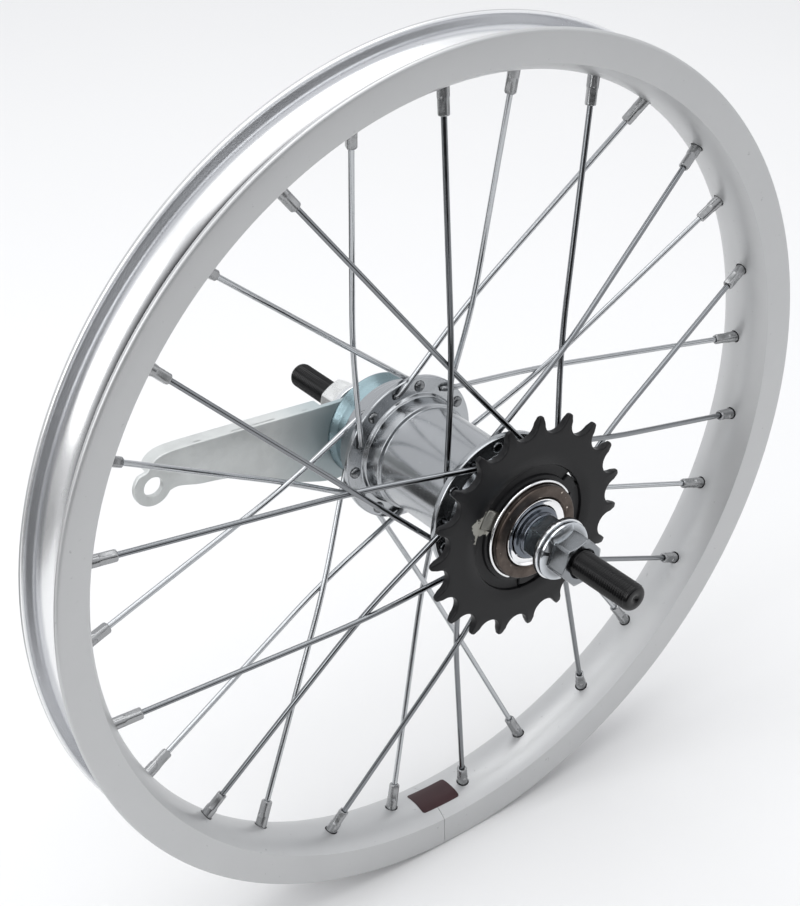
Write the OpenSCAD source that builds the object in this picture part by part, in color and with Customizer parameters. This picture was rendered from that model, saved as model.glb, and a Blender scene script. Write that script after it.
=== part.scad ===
// Rear bicycle wheel for a 16-inch tyre (bead seat 305 mm), with a back-pedal brake hub.
// Millimetres. The origin is the middle of the axle, in the plane of the rim's centre line.
// The axle runs along Y with the sprocket at -Y. Z is up and the brake arm points to -X.

/* [Rim] */
// Outer radius of the rim over its lips
rim_outer_radius = 159; // [157:0.5:161]
// Overall width of the rim across its lips
rim_width = 24.3; // [23.5:0.1:25.5]
// Radius of the fold where the flat side wall meets the curved bed
rim_fold_radius = 147.5; // [146.5:0.1:148]
// Smallest radius of the bed, on the side facing the hub
rim_bed_radius = 143.5; // [142.8:0.1:144]
// Radius of the valve hole
valve_hole_radius = 4.25; // [3.25:0.25:4.5]

/* [Spokes] */
// Radius of a spoke
spoke_radius = 1; // [0.9:0.05:1]
// Angle of the first spoke hole in the rim, from +X towards +Z
rim_phase = 93.2; // [90:0.1:96]
// Sideways offset of the spoke holes from the rim's centre line
rim_stagger = 1.9; // [1:0.1:2.5]

/* [Hub shell] */
// Radius of both spoke flanges
flange_radius = 27.5; // [27:0.1:28.5]
// Distance from the wheel's centre plane to the middle of each flange
flange_offset = 24.2; // [23.8:0.1:24.6]
// Outer radius of the barrel between the flanges
barrel_radius = 19.1; // [18.7:0.1:19.5]
// Radius of the brake drum inside the shell
drum_radius = 16.55; // [16.5:0.05:16.8]

/* [Axle] */
// Half the length of the axle
axle_half_length = 91.5; // [88:0.5:95]
// Half the distance between the faces that the frame's dropouts seat against
dropout_half = 55; // [54.8:0.1:55]

/* [Sprocket] */
// Radius over the tips of the teeth
sprocket_tip_radius = 41; // [40.6:0.1:41.4]
// Angle of the first tooth, from +X towards +Z
sprocket_phase = 84.7; // [80:0.1:90]

/* [Brake arm] */
// Distance from the axle to the hole in the arm's tip
arm_reach = 92.1; // [90:0.1:94]
// Radius of the hole in the arm's tip
arm_hole_radius = 3.75; // [3.25:0.05:4]

/* [Hidden] */
$fn = 96;

// spokes: 28 in all, 14 to a flange, each crossing two others of its own flange
spoke_count = 28;
spokes_per_flange = spoke_count / 2;
spoke_step = 360 / spoke_count;
lace_angle = 2 * 360 / spokes_per_flange;
spoke_circle_radius = flange_radius - 3.3;
spoke_hole_radius = 1.3;
spoke_head_radius = 2.1;
spoke_head_height = 1;
bend_swell = 0.06;
bend_gap = 0.15;
bend_half = 0.4;
flange_thickness = 2.6;
flange_outer_face = flange_offset + flange_thickness / 2;
flange_inner_face = flange_offset - flange_thickness / 2;
outer_elbow = flange_outer_face + 2.8;
inner_elbow = flange_inner_face - 1.3;
crossing_middle = 17.55;
crossing_gap = 0.3;

// nipples
nipple_tip_radius = 134;
nipple_seat_radius = 146.4;
nipple_body_radius = 2.05;
nipple_bore_radius = 1.05;
nipple_head_radius = 3;
nipple_head_height = 2;
nipple_hole_radius = 2.45;

// rim section
bed_wall = 1.4;
bed_half_width = 10.9;
bed_power = 2.2;
bead_seat_radius = 152.5;
hook_half_width = 9.6;
wall_half_width = 10.3;
seam_angle = rim_phase - 14.5 * spoke_step;
valve_angle = seam_angle + 180;

// label on the bed, between two nipples
label_angle = seam_angle + 0.8;
label_arc = 7.1;
label_low = -6.5;
label_high = 4.4;
label_thickness = 0.12;

// bearings between the shell and the driver, and between the shell and the brake cone
ball_radius = 3.175;
ball_circle_radius = 16;
ball_count = 9;
ball_clearance = 0.075;
cup_radius = ball_circle_radius + ball_radius + ball_clearance;
race_radius = ball_circle_radius - ball_radius - ball_clearance;
cup_floor = 28.3;
ball_offset = cup_floor + ball_radius + ball_clearance;
shoulder_offset = ball_offset + ball_radius + ball_clearance;
shell_end = 36.2;
shell_end_radius = 21.2;
brake_band_start = 16.3;
brake_band_radius = 20.3;

// bearing between the driver and the fixed cone
small_ball_radius = 2.38;
small_circle_radius = 9.9;
small_ball_count = 8;
driver_cup_radius = small_circle_radius + small_ball_radius + ball_clearance;
cone_race_radius = small_circle_radius - small_ball_radius - ball_clearance;
driver_cup_floor = -38;
small_ball_y = driver_cup_floor - small_ball_radius - ball_clearance;
cone_shoulder_y = small_ball_y - small_ball_radius - ball_clearance;
// inner face of the drive side locknut, against the cone
locknut_inner = -47.6;

// driver and sprocket
driver_face = -44.85;
driver_land_radius = 17;
driver_lug_radius = 22.6;
driver_lug_width = 7;
driver_flange_y = -37.2;
sprocket_back = -38.65;
sprocket_front = -41.3;
recess_inner = 19.3;
recess_outer = 23.2;
recess_depth = 1.1;
sprocket_teeth = 19;
chain_pitch = 12.7;
pitch_radius = chain_pitch / 2 / sin(180 / sprocket_teeth);
// the gaps between the teeth are cut wider than the chain's rollers
gap_radius = 4.9;
gap_middle = pitch_radius + 0.8;
lug_angles = [151, 31, 271];
snap_wire_radius = 0.6;
snap_ring_radius = 17.55;
snap_ring_y = -42.2;
snap_ring_start = 27;
snap_ring_sweep = 213;

// clutch cone and brake shoes
driver_thread_radius = 9.9;
driver_thread_end = -3.5;
clutch_bore_radius = 10;
shoe_radius = drum_radius - 0.4;
shoe_bore_radius = 12.9;
shoe_low = -3.5;
shoe_high = 16;
shoe_gap = 4;
key_width = 3;
clutch_low = -21.6;
clutch_high = 0.6;
clutch_body_radius = 15.3;
clutch_travel = 3;
nose_start = -7.2;
nose_slope = 0.372;
retarder_y = -11;
// radius of the clutch cone's nose at rest, and of its driving taper beside the shell's taper
function nose_taper(y) = clutch_body_radius - nose_slope * (y - nose_start);
function drive_taper(y) = 13.2 + (y + 22) * (drum_radius - 13.2) / 6 - 0.17;
// the shoes clear the nose by 0.15 mm when the clutch is at the end of its travel
shoe_low_bore = nose_taper(shoe_low - clutch_travel) + 0.15;

// axle hardware
axle_radius = 4.76;
axle_chamfer = 1.2;
thread_bore = 4.8;
hex_flats = 15;
washer_radius = 10.85;
washer_thickness = 1.9;
washer_gap = 0.1;
nut_flange_radius = 10.4;
nut_flange_thickness = 2.2;
nut_height = 10.1;

// brake arm
arm_low = 45;
arm_thickness = 2;
arm_tip_angle = 175.2;
arm_tip_radius = 7.4;
arm_square = 13.4;
arm_fold_depth = 4.2;
dust_cap_radius = 20.3;

// ---------- helpers ----------

// Turns a shape built along +Z so that it lies along +Y.
module along_y() {
    rotate([-90, 0, 0]) children();
}

// Turns children about the axle: 0 is +X and 90 is +Z.
module at_angle(a) {
    rotate([0, -a, 0]) children();
}

// A plain ring round the axle between two values of y.
module ring(outer, inner, y0, y1) {
    along_y() translate([0, 0, y0]) difference() {
        cylinder(r = outer, h = y1 - y0);
        translate([0, 0, -1]) cylinder(r = inner, h = y1 - y0 + 2);
    }
}

// A solid of revolution round the axle from points given as [radius, y].
module turned(points) {
    along_y() rotate_extrude() polygon(points);
}

// A hexagonal prism round the axle, its corners turned down by a shallow cone at one or both ends.
module hexagon(flats, y0, y1, corner_angle, chamfer0, chamfer1) {
    corner = flats / 2 / cos(30);
    clear = 0.4;
    intersection() {
        at_angle(corner_angle) along_y() translate([0, 0, y0]) cylinder(r = corner, h = y1 - y0, $fn = 6);
        turned([
            [0, y0 - 0.01], [corner - chamfer0, y0 - 0.01],
            [corner + clear, y0 + (chamfer0 + clear) * 0.58],
            [corner + clear, y1 - (chamfer1 + clear) * 0.58],
            [corner - chamfer1, y1 + 0.01], [0, y1 + 0.01]]);
    }
}

// Places a shape built along +Z so that it starts at p and points at q.
module from_to(p, q) {
    d = q - p;
    translate(p) rotate([0, acos(d[2] / norm(d)), atan2(d[1], d[0])]) children();
}

function unit(v) = v / norm(v);

// The point a little way from p towards q, so that rods end inside the sleeve at a bend.
function short_of(p, q) = p + unit(q - p) * bend_gap;

module rod(p, q, r) {
    from_to(p, q) cylinder(r = r, h = norm(q - p));
}

function on_wheel(r, a, y) = [r * cos(a), y, r * sin(a)];

// ---------- spoke layout ----------

// Spokes 0, 2, 4 ... go to the drive flange at -Y and the others to the left flange.
// Of each flange's spokes every second one has its elbow on the flange's outer face.
function spoke_side(i) = i % 2 == 0 ? -1 : 1;
function spoke_is_outer(i) = floor(i / 2) % 2 == (i % 2 == 0 ? 1 : 0);
function spoke_turn(i) = spoke_is_outer(i) ? -1 : 1;
function spoke_rim_angle(i) = rim_phase - spoke_step * i;
function spoke_hub_angle(i) = spoke_rim_angle(i) + spoke_turn(i) * lace_angle;

// Share of the way from rim to hub at which a spoke meets its last crossing, seen along the axle.
rim_part = rim_bed_radius * sin(spoke_step);
hub_part = spoke_circle_radius * sin(lace_angle - spoke_step);
crossing_share = rim_part / (rim_part + hub_part);

function spoke_elbow(i) = on_wheel(spoke_circle_radius, spoke_hub_angle(i),
    spoke_side(i) * (spoke_is_outer(i) ? outer_elbow : inner_elbow));

function spoke_rim_point(i) = on_wheel(rim_bed_radius, spoke_rim_angle(i), spoke_side(i) * rim_stagger);

// At the last crossing the outer spoke passes inside the inner one, as in a laced wheel.
function crossing_y(i) = spoke_side(i) * (crossing_middle
    + (spoke_is_outer(i) ? -1 : 1) * (spoke_radius + crossing_gap / 2));

function spoke_crossing(i) =
    let (rim = on_wheel(rim_bed_radius, spoke_rim_angle(i), 0),
        hub = on_wheel(spoke_circle_radius, spoke_hub_angle(i), 0),
        flat = rim + (hub - rim) * crossing_share)
    [flat[0], crossing_y(i), flat[2]];

// A point on the outer part of the spoke's line, at a given distance outward from the rim point.
function spoke_outward(i, d) =
    let (n = spoke_rim_point(i), c = spoke_crossing(i))
    n + unit(n - c) * d;

module spoke(i) {
    elbow = spoke_elbow(i);
    crossing = spoke_crossing(i);
    tip = spoke_outward(i, -2);
    side = spoke_side(i);
    head_face = side * (spoke_is_outer(i) ? flange_inner_face : flange_outer_face);
    head_way = spoke_is_outer(i) ? -side : side;
    head_start = [elbow[0], head_face + head_way * 0.05, elbow[2]];
    head_end = head_start + [0, head_way * spoke_head_height, 0];
    shank_end = head_start + [0, head_way * spoke_head_height / 2, 0];
    bend_way = unit(tip - crossing) + unit(crossing - elbow);
    bend_from = crossing - unit(bend_way) * bend_half;
    bend_to = crossing + unit(bend_way) * bend_half;
    rod(elbow, short_of(crossing, elbow), spoke_radius);
    rod(bend_from, bend_to, spoke_radius + bend_swell);
    rod(short_of(crossing, tip), tip, spoke_radius);
    rod(elbow - [0, head_way * (spoke_radius + bend_swell), 0], shank_end, spoke_radius + bend_swell);
    from_to(head_start, head_end) rotate_extrude() polygon([
        [0, 0], [spoke_head_radius - 0.2, 0], [spoke_head_radius, 0.25],
        [spoke_head_radius - 0.5, spoke_head_height * 0.75], [1, spoke_head_height * 1.05],
        [0, spoke_head_height * 1.1]]);
}

module spoke_group(first) {
    for (k = [0 : spokes_per_flange / 2 - 1]) spoke(first + 4 * k);
}

module nipple(i) {
    length = rim_bed_radius - nipple_tip_radius;
    seat = nipple_seat_radius - rim_bed_radius;
    from_to(spoke_outward(i, -length), spoke_outward(i, 0)) difference() {
        union() {
            cylinder(r = nipple_body_radius, h = length + seat);
            translate([0, 0, length + seat - 0.5]) cylinder(r1 = nipple_body_radius,
                r2 = nipple_head_radius, h = 1);
            translate([0, 0, length + seat + 0.5]) cylinder(r = nipple_head_radius, h = nipple_head_height);
        }
        translate([0, 0, -1]) cylinder(r = nipple_bore_radius, h = length + seat + 2);
        for (a = [0 : 90 : 270]) rotate([0, 0, a])
            translate([nipple_body_radius - 0.35, -3, -1]) cube([2, 6, length - 1]);
    }
}

// ---------- rim ----------

function bed_outer(y) = rim_bed_radius + (rim_fold_radius - rim_bed_radius)
    * pow(min(abs(y) / bed_half_width, 1), bed_power);

bed_steps = 14;
outer_bed_points = [for (k = [-bed_steps : bed_steps])
    let (y = k / bed_steps * bed_half_width) [bed_outer(y), y]];
inner_bed_points = [for (k = [bed_steps : -1 : -bed_steps])
    let (y = k / bed_steps * 7.4) [bed_outer(y) + bed_wall + 0.6 * pow(abs(y) / 7.4, 4), y]];

function rim_lip(s) = [
    [rim_outer_radius - 1.6, s * rim_width / 2],
    [rim_outer_radius - 0.5, s * (rim_width / 2 - 0.15)],
    [rim_outer_radius, s * (rim_width / 2 - 0.7)],
    [rim_outer_radius - 0.15, s * (hook_half_width + 0.6)],
    [rim_outer_radius - 0.7, s * hook_half_width],
    [rim_outer_radius - 1.9, s * hook_half_width],
    [rim_outer_radius - 2.8, s * wall_half_width],
    [bead_seat_radius + 0.8, s * wall_half_width],
    [bead_seat_radius, s * (wall_half_width - 0.8)],
    [bead_seat_radius - 0.1, s * 8.7],
    [bead_seat_radius - 1, s * 8]
];

function reversed(v) = [for (k = [len(v) - 1 : -1 : 0]) v[k]];

rim_section = concat(outer_bed_points, rim_lip(1), inner_bed_points, reversed(rim_lip(-1)));

module rim() {
    color([0.76, 0.77, 0.78]) difference() {
        turned(rim_section);
        for (i = [0 : spoke_count - 1])
            rod(spoke_outward(i, -3), spoke_outward(i, 6.5), nipple_hole_radius);
        at_angle(valve_angle) translate([rim_bed_radius - 5, 0, 0]) rotate([0, 90, 0])
            cylinder(r = valve_hole_radius, h = 12);
    }
}

// A thin blank sticker that follows the bed.
label_steps = 8;
label_lower = [for (k = [0 : label_steps])
    let (y = label_low + (label_high - label_low) * k / label_steps) [bed_outer(y) - 0.02, y]];
label_upper = [for (k = [label_steps : -1 : 0])
    let (y = label_low + (label_high - label_low) * k / label_steps)
    [bed_outer(y) - 0.02 - label_thickness, y]];

module rim_sticker() {
    color([0.25, 0.12, 0.12]) at_angle(label_angle + label_arc / 2) along_y()
        rotate_extrude(angle = label_arc) polygon(concat(label_lower, label_upper));
}

module nipples() {
    color([0.62, 0.63, 0.64]) for (i = [0 : spoke_count - 1]) nipple(i);
}

module spokes_drive_outer() {
    color([0.6, 0.62, 0.64]) spoke_group(2);
}

module spokes_drive_inner() {
    color([0.6, 0.62, 0.64]) spoke_group(0);
}

module spokes_left_outer() {
    color([0.6, 0.62, 0.64]) spoke_group(1);
}

module spokes_left_inner() {
    color([0.6, 0.62, 0.64]) spoke_group(3);
}

// ---------- hub shell ----------

module spoke_holes(side) {
    for (k = [0 : spokes_per_flange - 1])
        at_angle(rim_phase - (side > 0 ? spoke_step : 0) + 2 * spoke_step * k)
            translate([spoke_circle_radius, side * flange_offset, 0]) along_y()
                cylinder(r = spoke_hole_radius, h = 2 * flange_thickness, center = true);
}

shell_outer_points = [
    [shell_end_radius - 0.5, -shell_end],
    [shell_end_radius, -shell_end + 0.5],
    [shell_end_radius, -flange_outer_face],
    [flange_radius - 0.4, -flange_outer_face],
    [flange_radius, -flange_outer_face + 0.4],
    [flange_radius, -flange_inner_face - 0.4],
    [flange_radius - 0.4, -flange_inner_face],
    [barrel_radius + 1.3, -flange_inner_face],
    [barrel_radius + 0.4, -flange_inner_face + 0.4],
    [barrel_radius, -flange_inner_face + 1.3],
    [barrel_radius, brake_band_start - 1.2],
    [barrel_radius + 0.7, brake_band_start - 0.9],
    [brake_band_radius, brake_band_start - 0.3],
    [brake_band_radius, flange_inner_face - 0.6],
    [brake_band_radius + 0.6, flange_inner_face],
    [flange_radius - 0.4, flange_inner_face],
    [flange_radius, flange_inner_face + 0.4],
    [flange_radius, flange_outer_face - 0.4],
    [flange_radius - 0.4, flange_outer_face],
    [shell_end_radius, flange_outer_face],
    [shell_end_radius, shell_end - 0.5],
    [shell_end_radius - 0.5, shell_end]
];

shell_inner_points = [
    [cup_radius, shell_end],
    [cup_radius, cup_floor],
    [drum_radius, cup_floor],
    [drum_radius, -16],
    [13.2, -22],
    [13.2, -cup_floor],
    [cup_radius, -cup_floor],
    [cup_radius, -shell_end]
];

module hub_shell() {
    color([0.7, 0.71, 0.73]) difference() {
        turned(concat(shell_outer_points, shell_inner_points));
        spoke_holes(-1);
        spoke_holes(1);
    }
}

module shell_dust_cap() {
    color([0.5, 0.51, 0.53]) turned([
        [15.9, -36.9], [shell_end_radius - 0.6, -36.9], [shell_end_radius - 0.2, -36.6],
        [shell_end_radius - 0.2, -36.25], [cup_radius - 0.05, -36.25], [cup_radius - 0.05, -35.9],
        [cup_radius - 0.6, -35.9], [cup_radius - 0.6, -36.3], [15.9, -36.3]]);
}

// ---------- fixed parts on the axle ----------

module axle() {
    color([0.06, 0.06, 0.065]) turned([
        [0, -axle_half_length], [axle_radius - axle_chamfer, -axle_half_length],
        [axle_radius, -axle_half_length + axle_chamfer],
        [axle_radius, axle_half_length - axle_chamfer],
        [axle_radius - axle_chamfer, axle_half_length], [0, axle_half_length]]);
}

module right_cone() {
    color([0.2, 0.21, 0.23]) turned([
        [thread_bore, locknut_inner + 0.1], [7.6, locknut_inner + 0.1], [8, locknut_inner + 0.5], [8, -45.4],
        [9.2, -45.2], [9.5, -44.9],
        [9.5, cone_shoulder_y], [cone_race_radius, cone_shoulder_y],
        [cone_race_radius, driver_cup_floor + 0.4], [cone_race_radius - 0.5, driver_cup_floor + 0.9],
        [thread_bore, driver_cup_floor + 0.9]]);
}

module right_locknut() {
    color([0.25, 0.26, 0.29]) difference() {
        hexagon(hex_flats, -dropout_half, locknut_inner, 12.5, 0.7, 0.7);
        along_y() translate([0, 0, -dropout_half - 1]) cylinder(r = thread_bore, h = 10);
    }
}

module washer(side) {
    y = side * (dropout_half + washer_gap + washer_thickness / 2);
    half = washer_thickness / 2;
    turned([
        [5.1, y - half], [washer_radius - 0.3, y - half], [washer_radius, y - half + 0.3],
        [washer_radius, y + half - 0.3], [washer_radius - 0.3, y + half], [5.1, y + half]]);
}

nut_start = dropout_half + 2 * washer_gap + washer_thickness;
nut_face = nut_start + nut_height;
nut_corner = hex_flats / 2 / cos(30);

// The flanged axle nut, drawn for +Y.
module flanged_nut(corner_angle) {
    difference() {
        union() {
            turned([
                [0, nut_start], [nut_flange_radius - 0.3, nut_start],
                [nut_flange_radius, nut_start + 0.3], [nut_flange_radius, nut_start + 1],
                [8.9, nut_start + nut_flange_thickness], [0, nut_start + nut_flange_thickness]]);
            at_angle(corner_angle) along_y() translate([0, 0, nut_start + 1.2])
                cylinder(r = nut_corner, h = nut_height - 1.2, $fn = 6);
        }
        turned([[0, nut_start - 1], [thread_bore, nut_start - 1], [thread_bore, nut_face - 0.5],
            [thread_bore + 1.5, nut_face + 1], [0, nut_face + 1]]);
        // shallow cone that takes the corners off the outer face
        turned([[nut_corner - 0.8, nut_face + 0.01], [nut_corner + 1, nut_face - 1],
            [nut_corner + 1, nut_face + 0.01]]);
    }
}

module right_washer() {
    color([0.85, 0.86, 0.87]) washer(-1);
}

module left_washer() {
    color([0.85, 0.86, 0.87]) washer(1);
}

module right_nut() {
    color([0.8, 0.82, 0.83]) mirror([0, 1, 0]) flanged_nut(12.5);
}

module left_nut() {
    color([0.8, 0.82, 0.83]) flanged_nut(27);
}

module square_bar(width, y0, y1) {
    translate([-width / 2, y0, -width / 2]) cube([width, y1 - y0, width]);
}

module left_brake_cone() {
    color([0.45, 0.46, 0.48]) difference() {
        union() {
            turned([
                [0, 8], [11.4, 8], [14.4, 16.4], [14.4, 20], [race_radius, 22],
                [race_radius, shoulder_offset], [15.5, shoulder_offset], [15.5, 36.6],
                [12, 37.5], [9.4, 38.5], [9.4, 43.7], [0, 43.7]]);
            intersection() {
                square_bar(arm_square - 0.2, 43, arm_low + arm_thickness - 0.1);
                along_y() cylinder(r = 9.2, h = 60);
            }
            // two keys that stop the shoes from turning
            for (s = [-1, 1]) intersection() {
                translate([s > 0 ? 9 : -15.4, 3, -key_width / 2]) cube([6.4, 15, key_width]);
                ring(15.4, 9, 3, 18);
            }
        }
        along_y() translate([0, 0, -10]) cylinder(r = thread_bore, h = 70);
        // clears the clutch cone's nose between the keys
        along_y() translate([0, 0, -10]) cylinder(r = 13, h = 18);
    }
}

module left_dust_cap() {
    color([0.55, 0.6, 0.61]) turned([
        [9.6, 43.8], [17.8, 43.8], [18, 42], [17.1, 37.6], [17.9, 37.6], [18.9, 41.8],
        [dust_cap_radius - 0.1, 44], [dust_cap_radius, 44.4], [dust_cap_radius - 0.2, 44.9], [9.6, 44.9]]);
}

module left_locknut() {
    color([0.6, 0.61, 0.62]) difference() {
        hexagon(17, arm_low + arm_thickness + 0.1, dropout_half, 12, 0.01, 0.7);
        along_y() translate([0, 0, 40]) cylinder(r = thread_bore, h = 20);
    }
}

// Outline of the arm in x and z, hub end at the right.
arm_hub_half = 15;
arm_outline = [
    [-92.6, 14.9], [-89, 18.2], [-84, 19], [-66, 17.9], [-51, 16.7], [-36, 15.5], [-20, 14.2], [-6, 13.75],
    [-6, -13.75], [-13, -18.4], [-20, -17.6], [-31, -13.8], [-42, -9.6], [-50, -5.4], [-57, -1.6],
    [-62, -0.2], [-68, 1.1], [-74, 1.9], [-79, 3.6], [-82.4, 4.6], [-85.5, 4]
];

arm_tip = on_wheel(arm_reach, arm_tip_angle, arm_low);

module arm_plate() {
    along_y() translate([0, 0, arm_low]) mirror([0, 1, 0]) linear_extrude(height = arm_thickness)
        union() {
            polygon(arm_outline);
            circle(r = arm_hub_half);
            translate([arm_tip[0], arm_tip[2]]) circle(r = arm_tip_radius);
        }
}

module brake_arm() {
    color([0.66, 0.69, 0.69]) difference() {
        union() {
            arm_plate();
            arm_fold();
        }
        translate(arm_tip) along_y() cylinder(r = arm_hole_radius, h = 30, center = true);
        square_bar(arm_square, 40, 60);
    }
}

module arm_fold() {
    top = [[-92.6, 14.9], [-89, 18.2], [-84, 19], [-66, 17.9], [-51, 16.7], [-36, 15.5], [-20, 14.2]];
    along_y() translate([0, 0, arm_low]) mirror([0, 1, 0])
        linear_extrude(height = arm_thickness + arm_fold_depth)
            polygon(concat(top, [for (k = [len(top) - 1 : -1 : 0]) top[k] + [0.5, -1.8]]));
}

// ---------- driver and what turns with it ----------

driver_points = [
    [13.2, driver_face], [driver_land_radius - 0.4, driver_face], [driver_land_radius, driver_face + 0.4],
    [driver_land_radius, snap_ring_y - 0.7], [16.6, snap_ring_y - 0.7], [16.6, snap_ring_y + 0.7],
    [driver_land_radius, snap_ring_y + 0.7], [driver_land_radius, sprocket_back + 0.05],
    [19, sprocket_back + 0.05], [19, driver_flange_y], [15.5, driver_flange_y],
    [15.5, -shoulder_offset], [race_radius, -shoulder_offset], [race_radius, -27.5],
    [11.2, -26.5], [11.2, -24.2], [driver_thread_radius, -23],
    [driver_thread_radius, driver_thread_end - 0.8], [driver_thread_radius - 0.8, driver_thread_end],
    [6, driver_thread_end], [6, -36], [8.6, driver_cup_floor], [driver_cup_radius, driver_cup_floor],
    [driver_cup_radius, -43.9], [12.5, -44.1]
];

module driver() {
    color([0.42, 0.36, 0.33]) union() {
        turned(driver_points);
        for (a = lug_angles) at_angle(a) intersection() {
            translate([10, sprocket_front + 0.4, -driver_lug_width / 2])
                cube([20, sprocket_back - sprocket_front - 0.35, driver_lug_width]);
            ring(driver_lug_radius, driver_land_radius - 0.3, sprocket_front + 0.4, sprocket_back + 0.05);
        }
        for (a = lug_angles) at_angle(a) intersection() {
            translate([10, sprocket_back - 0.2, -driver_lug_width / 2])
                cube([20, driver_flange_y - sprocket_back + 0.2, driver_lug_width]);
            ring(driver_lug_radius, 18, sprocket_back - 0.2, driver_flange_y);
        }
    }
}

module tooth_gap() {
    gap_end = sprocket_tip_radius + 2;
    union() {
        translate([gap_middle, 0]) circle(r = gap_radius);
        polygon([[gap_middle, -gap_radius + 0.1], [gap_end, -6.6], [gap_end, 6.6],
            [gap_middle, gap_radius - 0.1]]);
    }
}

sprocket_step = 360 / sprocket_teeth;

// The flat blank, with its front face at y0.
module sprocket_blank(y0, y1) {
    along_y() translate([0, 0, y0]) linear_extrude(height = y1 - y0) difference() {
        circle(r = sprocket_tip_radius);
        for (k = [0 : sprocket_teeth - 1])
            rotate([0, 0, -(sprocket_phase + sprocket_step * (k + 0.5))]) tooth_gap();
    }
}

module sprocket() {
    back = sprocket_back;
    front = sprocket_front;
    color([0.07, 0.07, 0.075]) difference() {
        intersection() {
            sprocket_blank(front - 1, back + 1);
            // section with a shallow ring-shaped recess in the front face and bevelled teeth
            turned([
                [driver_land_radius + 0.1, front], [recess_inner, front],
                [recess_inner + 0.3, front + recess_depth], [recess_outer - 0.3, front + recess_depth],
                [recess_outer, front], [38.6, front], [sprocket_tip_radius + 1, front + 0.8],
                [sprocket_tip_radius + 1, back - 0.8], [38.6, back], [driver_land_radius + 0.1, back]]);
        }
        for (a = lug_angles) at_angle(a)
            translate([10, front - 2, -driver_lug_width / 2 - 0.15])
                cube([13, 6, driver_lug_width + 0.3]);
    }
}

module snap_ring() {
    color([0.88, 0.89, 0.9]) {
        at_angle(snap_ring_start + snap_ring_sweep) along_y() translate([0, 0, snap_ring_y])
            rotate_extrude(angle = snap_ring_sweep)
                translate([snap_ring_radius, 0]) circle(r = snap_wire_radius);
        for (a = [snap_ring_start, snap_ring_start + snap_ring_sweep])
            translate(on_wheel(snap_ring_radius, a, snap_ring_y)) sphere(r = snap_wire_radius);
    }
}

module driver_dust_cap() {
    color([0.9, 0.9, 0.91]) turned([
        [9.95, -44.15], [11.8, -44.65], [12, -44.85], [12.3, -44.85], [12.3, -43.75],
        [12, -43.75], [11.95, -44.2], [11.7, -44.3], [9.95, -43.8]]);
}

// ---------- clutch cone and brake shoes ----------

module clutch_cone() {
    color([0.5, 0.5, 0.52]) turned([
            [clutch_bore_radius, clutch_low], [drive_taper(clutch_low), clutch_low],
            [clutch_body_radius, clutch_low + 4], [clutch_body_radius, retarder_y - 0.8],
            [14.6, retarder_y - 0.8], [14.6, retarder_y + 0.8], [clutch_body_radius, retarder_y + 0.8],
            [clutch_body_radius, nose_start], [nose_taper(clutch_high), clutch_high],
            [clutch_bore_radius, clutch_high]]);
}

module retarder_spring() {
    color([0.55, 0.56, 0.58]) at_angle(170) along_y() translate([0, 0, retarder_y])
        rotate_extrude(angle = 330) translate([15.25, 0]) circle(r = 0.6);
}

// One half of the split brake cylinder, above or below the axle.
module brake_shoe(side) {
    difference() {
        turned([
            [shoe_radius - 0.4, shoe_low], [shoe_radius, shoe_low + 0.4], [shoe_radius, shoe_high - 0.5],
            [shoe_radius - 0.5, shoe_high], [14.6, shoe_high], [shoe_bore_radius, shoe_high - 4.6],
            [shoe_bore_radius, shoe_low + 6.15], [shoe_low_bore, shoe_low]]);
        translate([-30, shoe_low - 1, side > 0 ? -30 : -shoe_gap / 2])
            cube([60, shoe_high - shoe_low + 2, 30 + shoe_gap / 2]);
        // shallow grooves that hold grease
        for (y = [0, 5, 10]) ring(shoe_radius + 1, shoe_radius - 0.4, y, y + 1);
    }
}

module brake_shoe_upper() {
    color([0.6, 0.52, 0.35]) brake_shoe(1);
}

module brake_shoe_lower() {
    color([0.6, 0.52, 0.35]) brake_shoe(-1);
}

// ---------- balls and cages ----------

module ball_set(count, circle_r, y, r, phase) {
    for (k = [0 : count - 1])
        translate(on_wheel(circle_r, phase + 360 / count * k, y)) sphere(r = r);
}

// A side ring with one finger between each pair of balls.
module cage(count, ring_out, ring_in, y0, y1, finger_y0, finger_y1, circle_r, width, depth, phase) {
    ring(ring_out, ring_in, y0, y1);
    for (k = [0 : count - 1]) at_angle(phase + 360 / count * (k + 0.5))
        translate([circle_r - depth / 2, min(finger_y0, finger_y1), -width / 2])
            cube([depth, abs(finger_y1 - finger_y0), width]);
}

module drive_balls() {
    color([0.8, 0.8, 0.82]) ball_set(ball_count, ball_circle_radius, -ball_offset, ball_radius, 10);
}

module drive_cage() {
    color([0.5, 0.51, 0.52]) cage(ball_count, 18.6, 15.9, -35.6, -34.9, -35, -29.5,
        ball_circle_radius + 0.6, 2.4, 1.4, 10);
}

module left_balls() {
    color([0.8, 0.8, 0.82]) ball_set(ball_count, ball_circle_radius, ball_offset, ball_radius, 0);
}

module left_cage() {
    color([0.5, 0.51, 0.52]) cage(ball_count, 18.6, 15.9, 34.9, 35.6, 35, 29.5,
        ball_circle_radius + 0.6, 2.4, 1.4, 0);
}

module driver_balls() {
    color([0.8, 0.8, 0.82]) ball_set(small_ball_count, small_circle_radius, small_ball_y,
        small_ball_radius, 5);
}

module driver_cage() {
    color([0.5, 0.51, 0.52]) cage(small_ball_count, 11.9, 9.95, -43.4, -42.95, -43, -39,
        small_circle_radius + 0.65, 1.2, 1.2, 5);
}

// ---------- the nodes ----------

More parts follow.
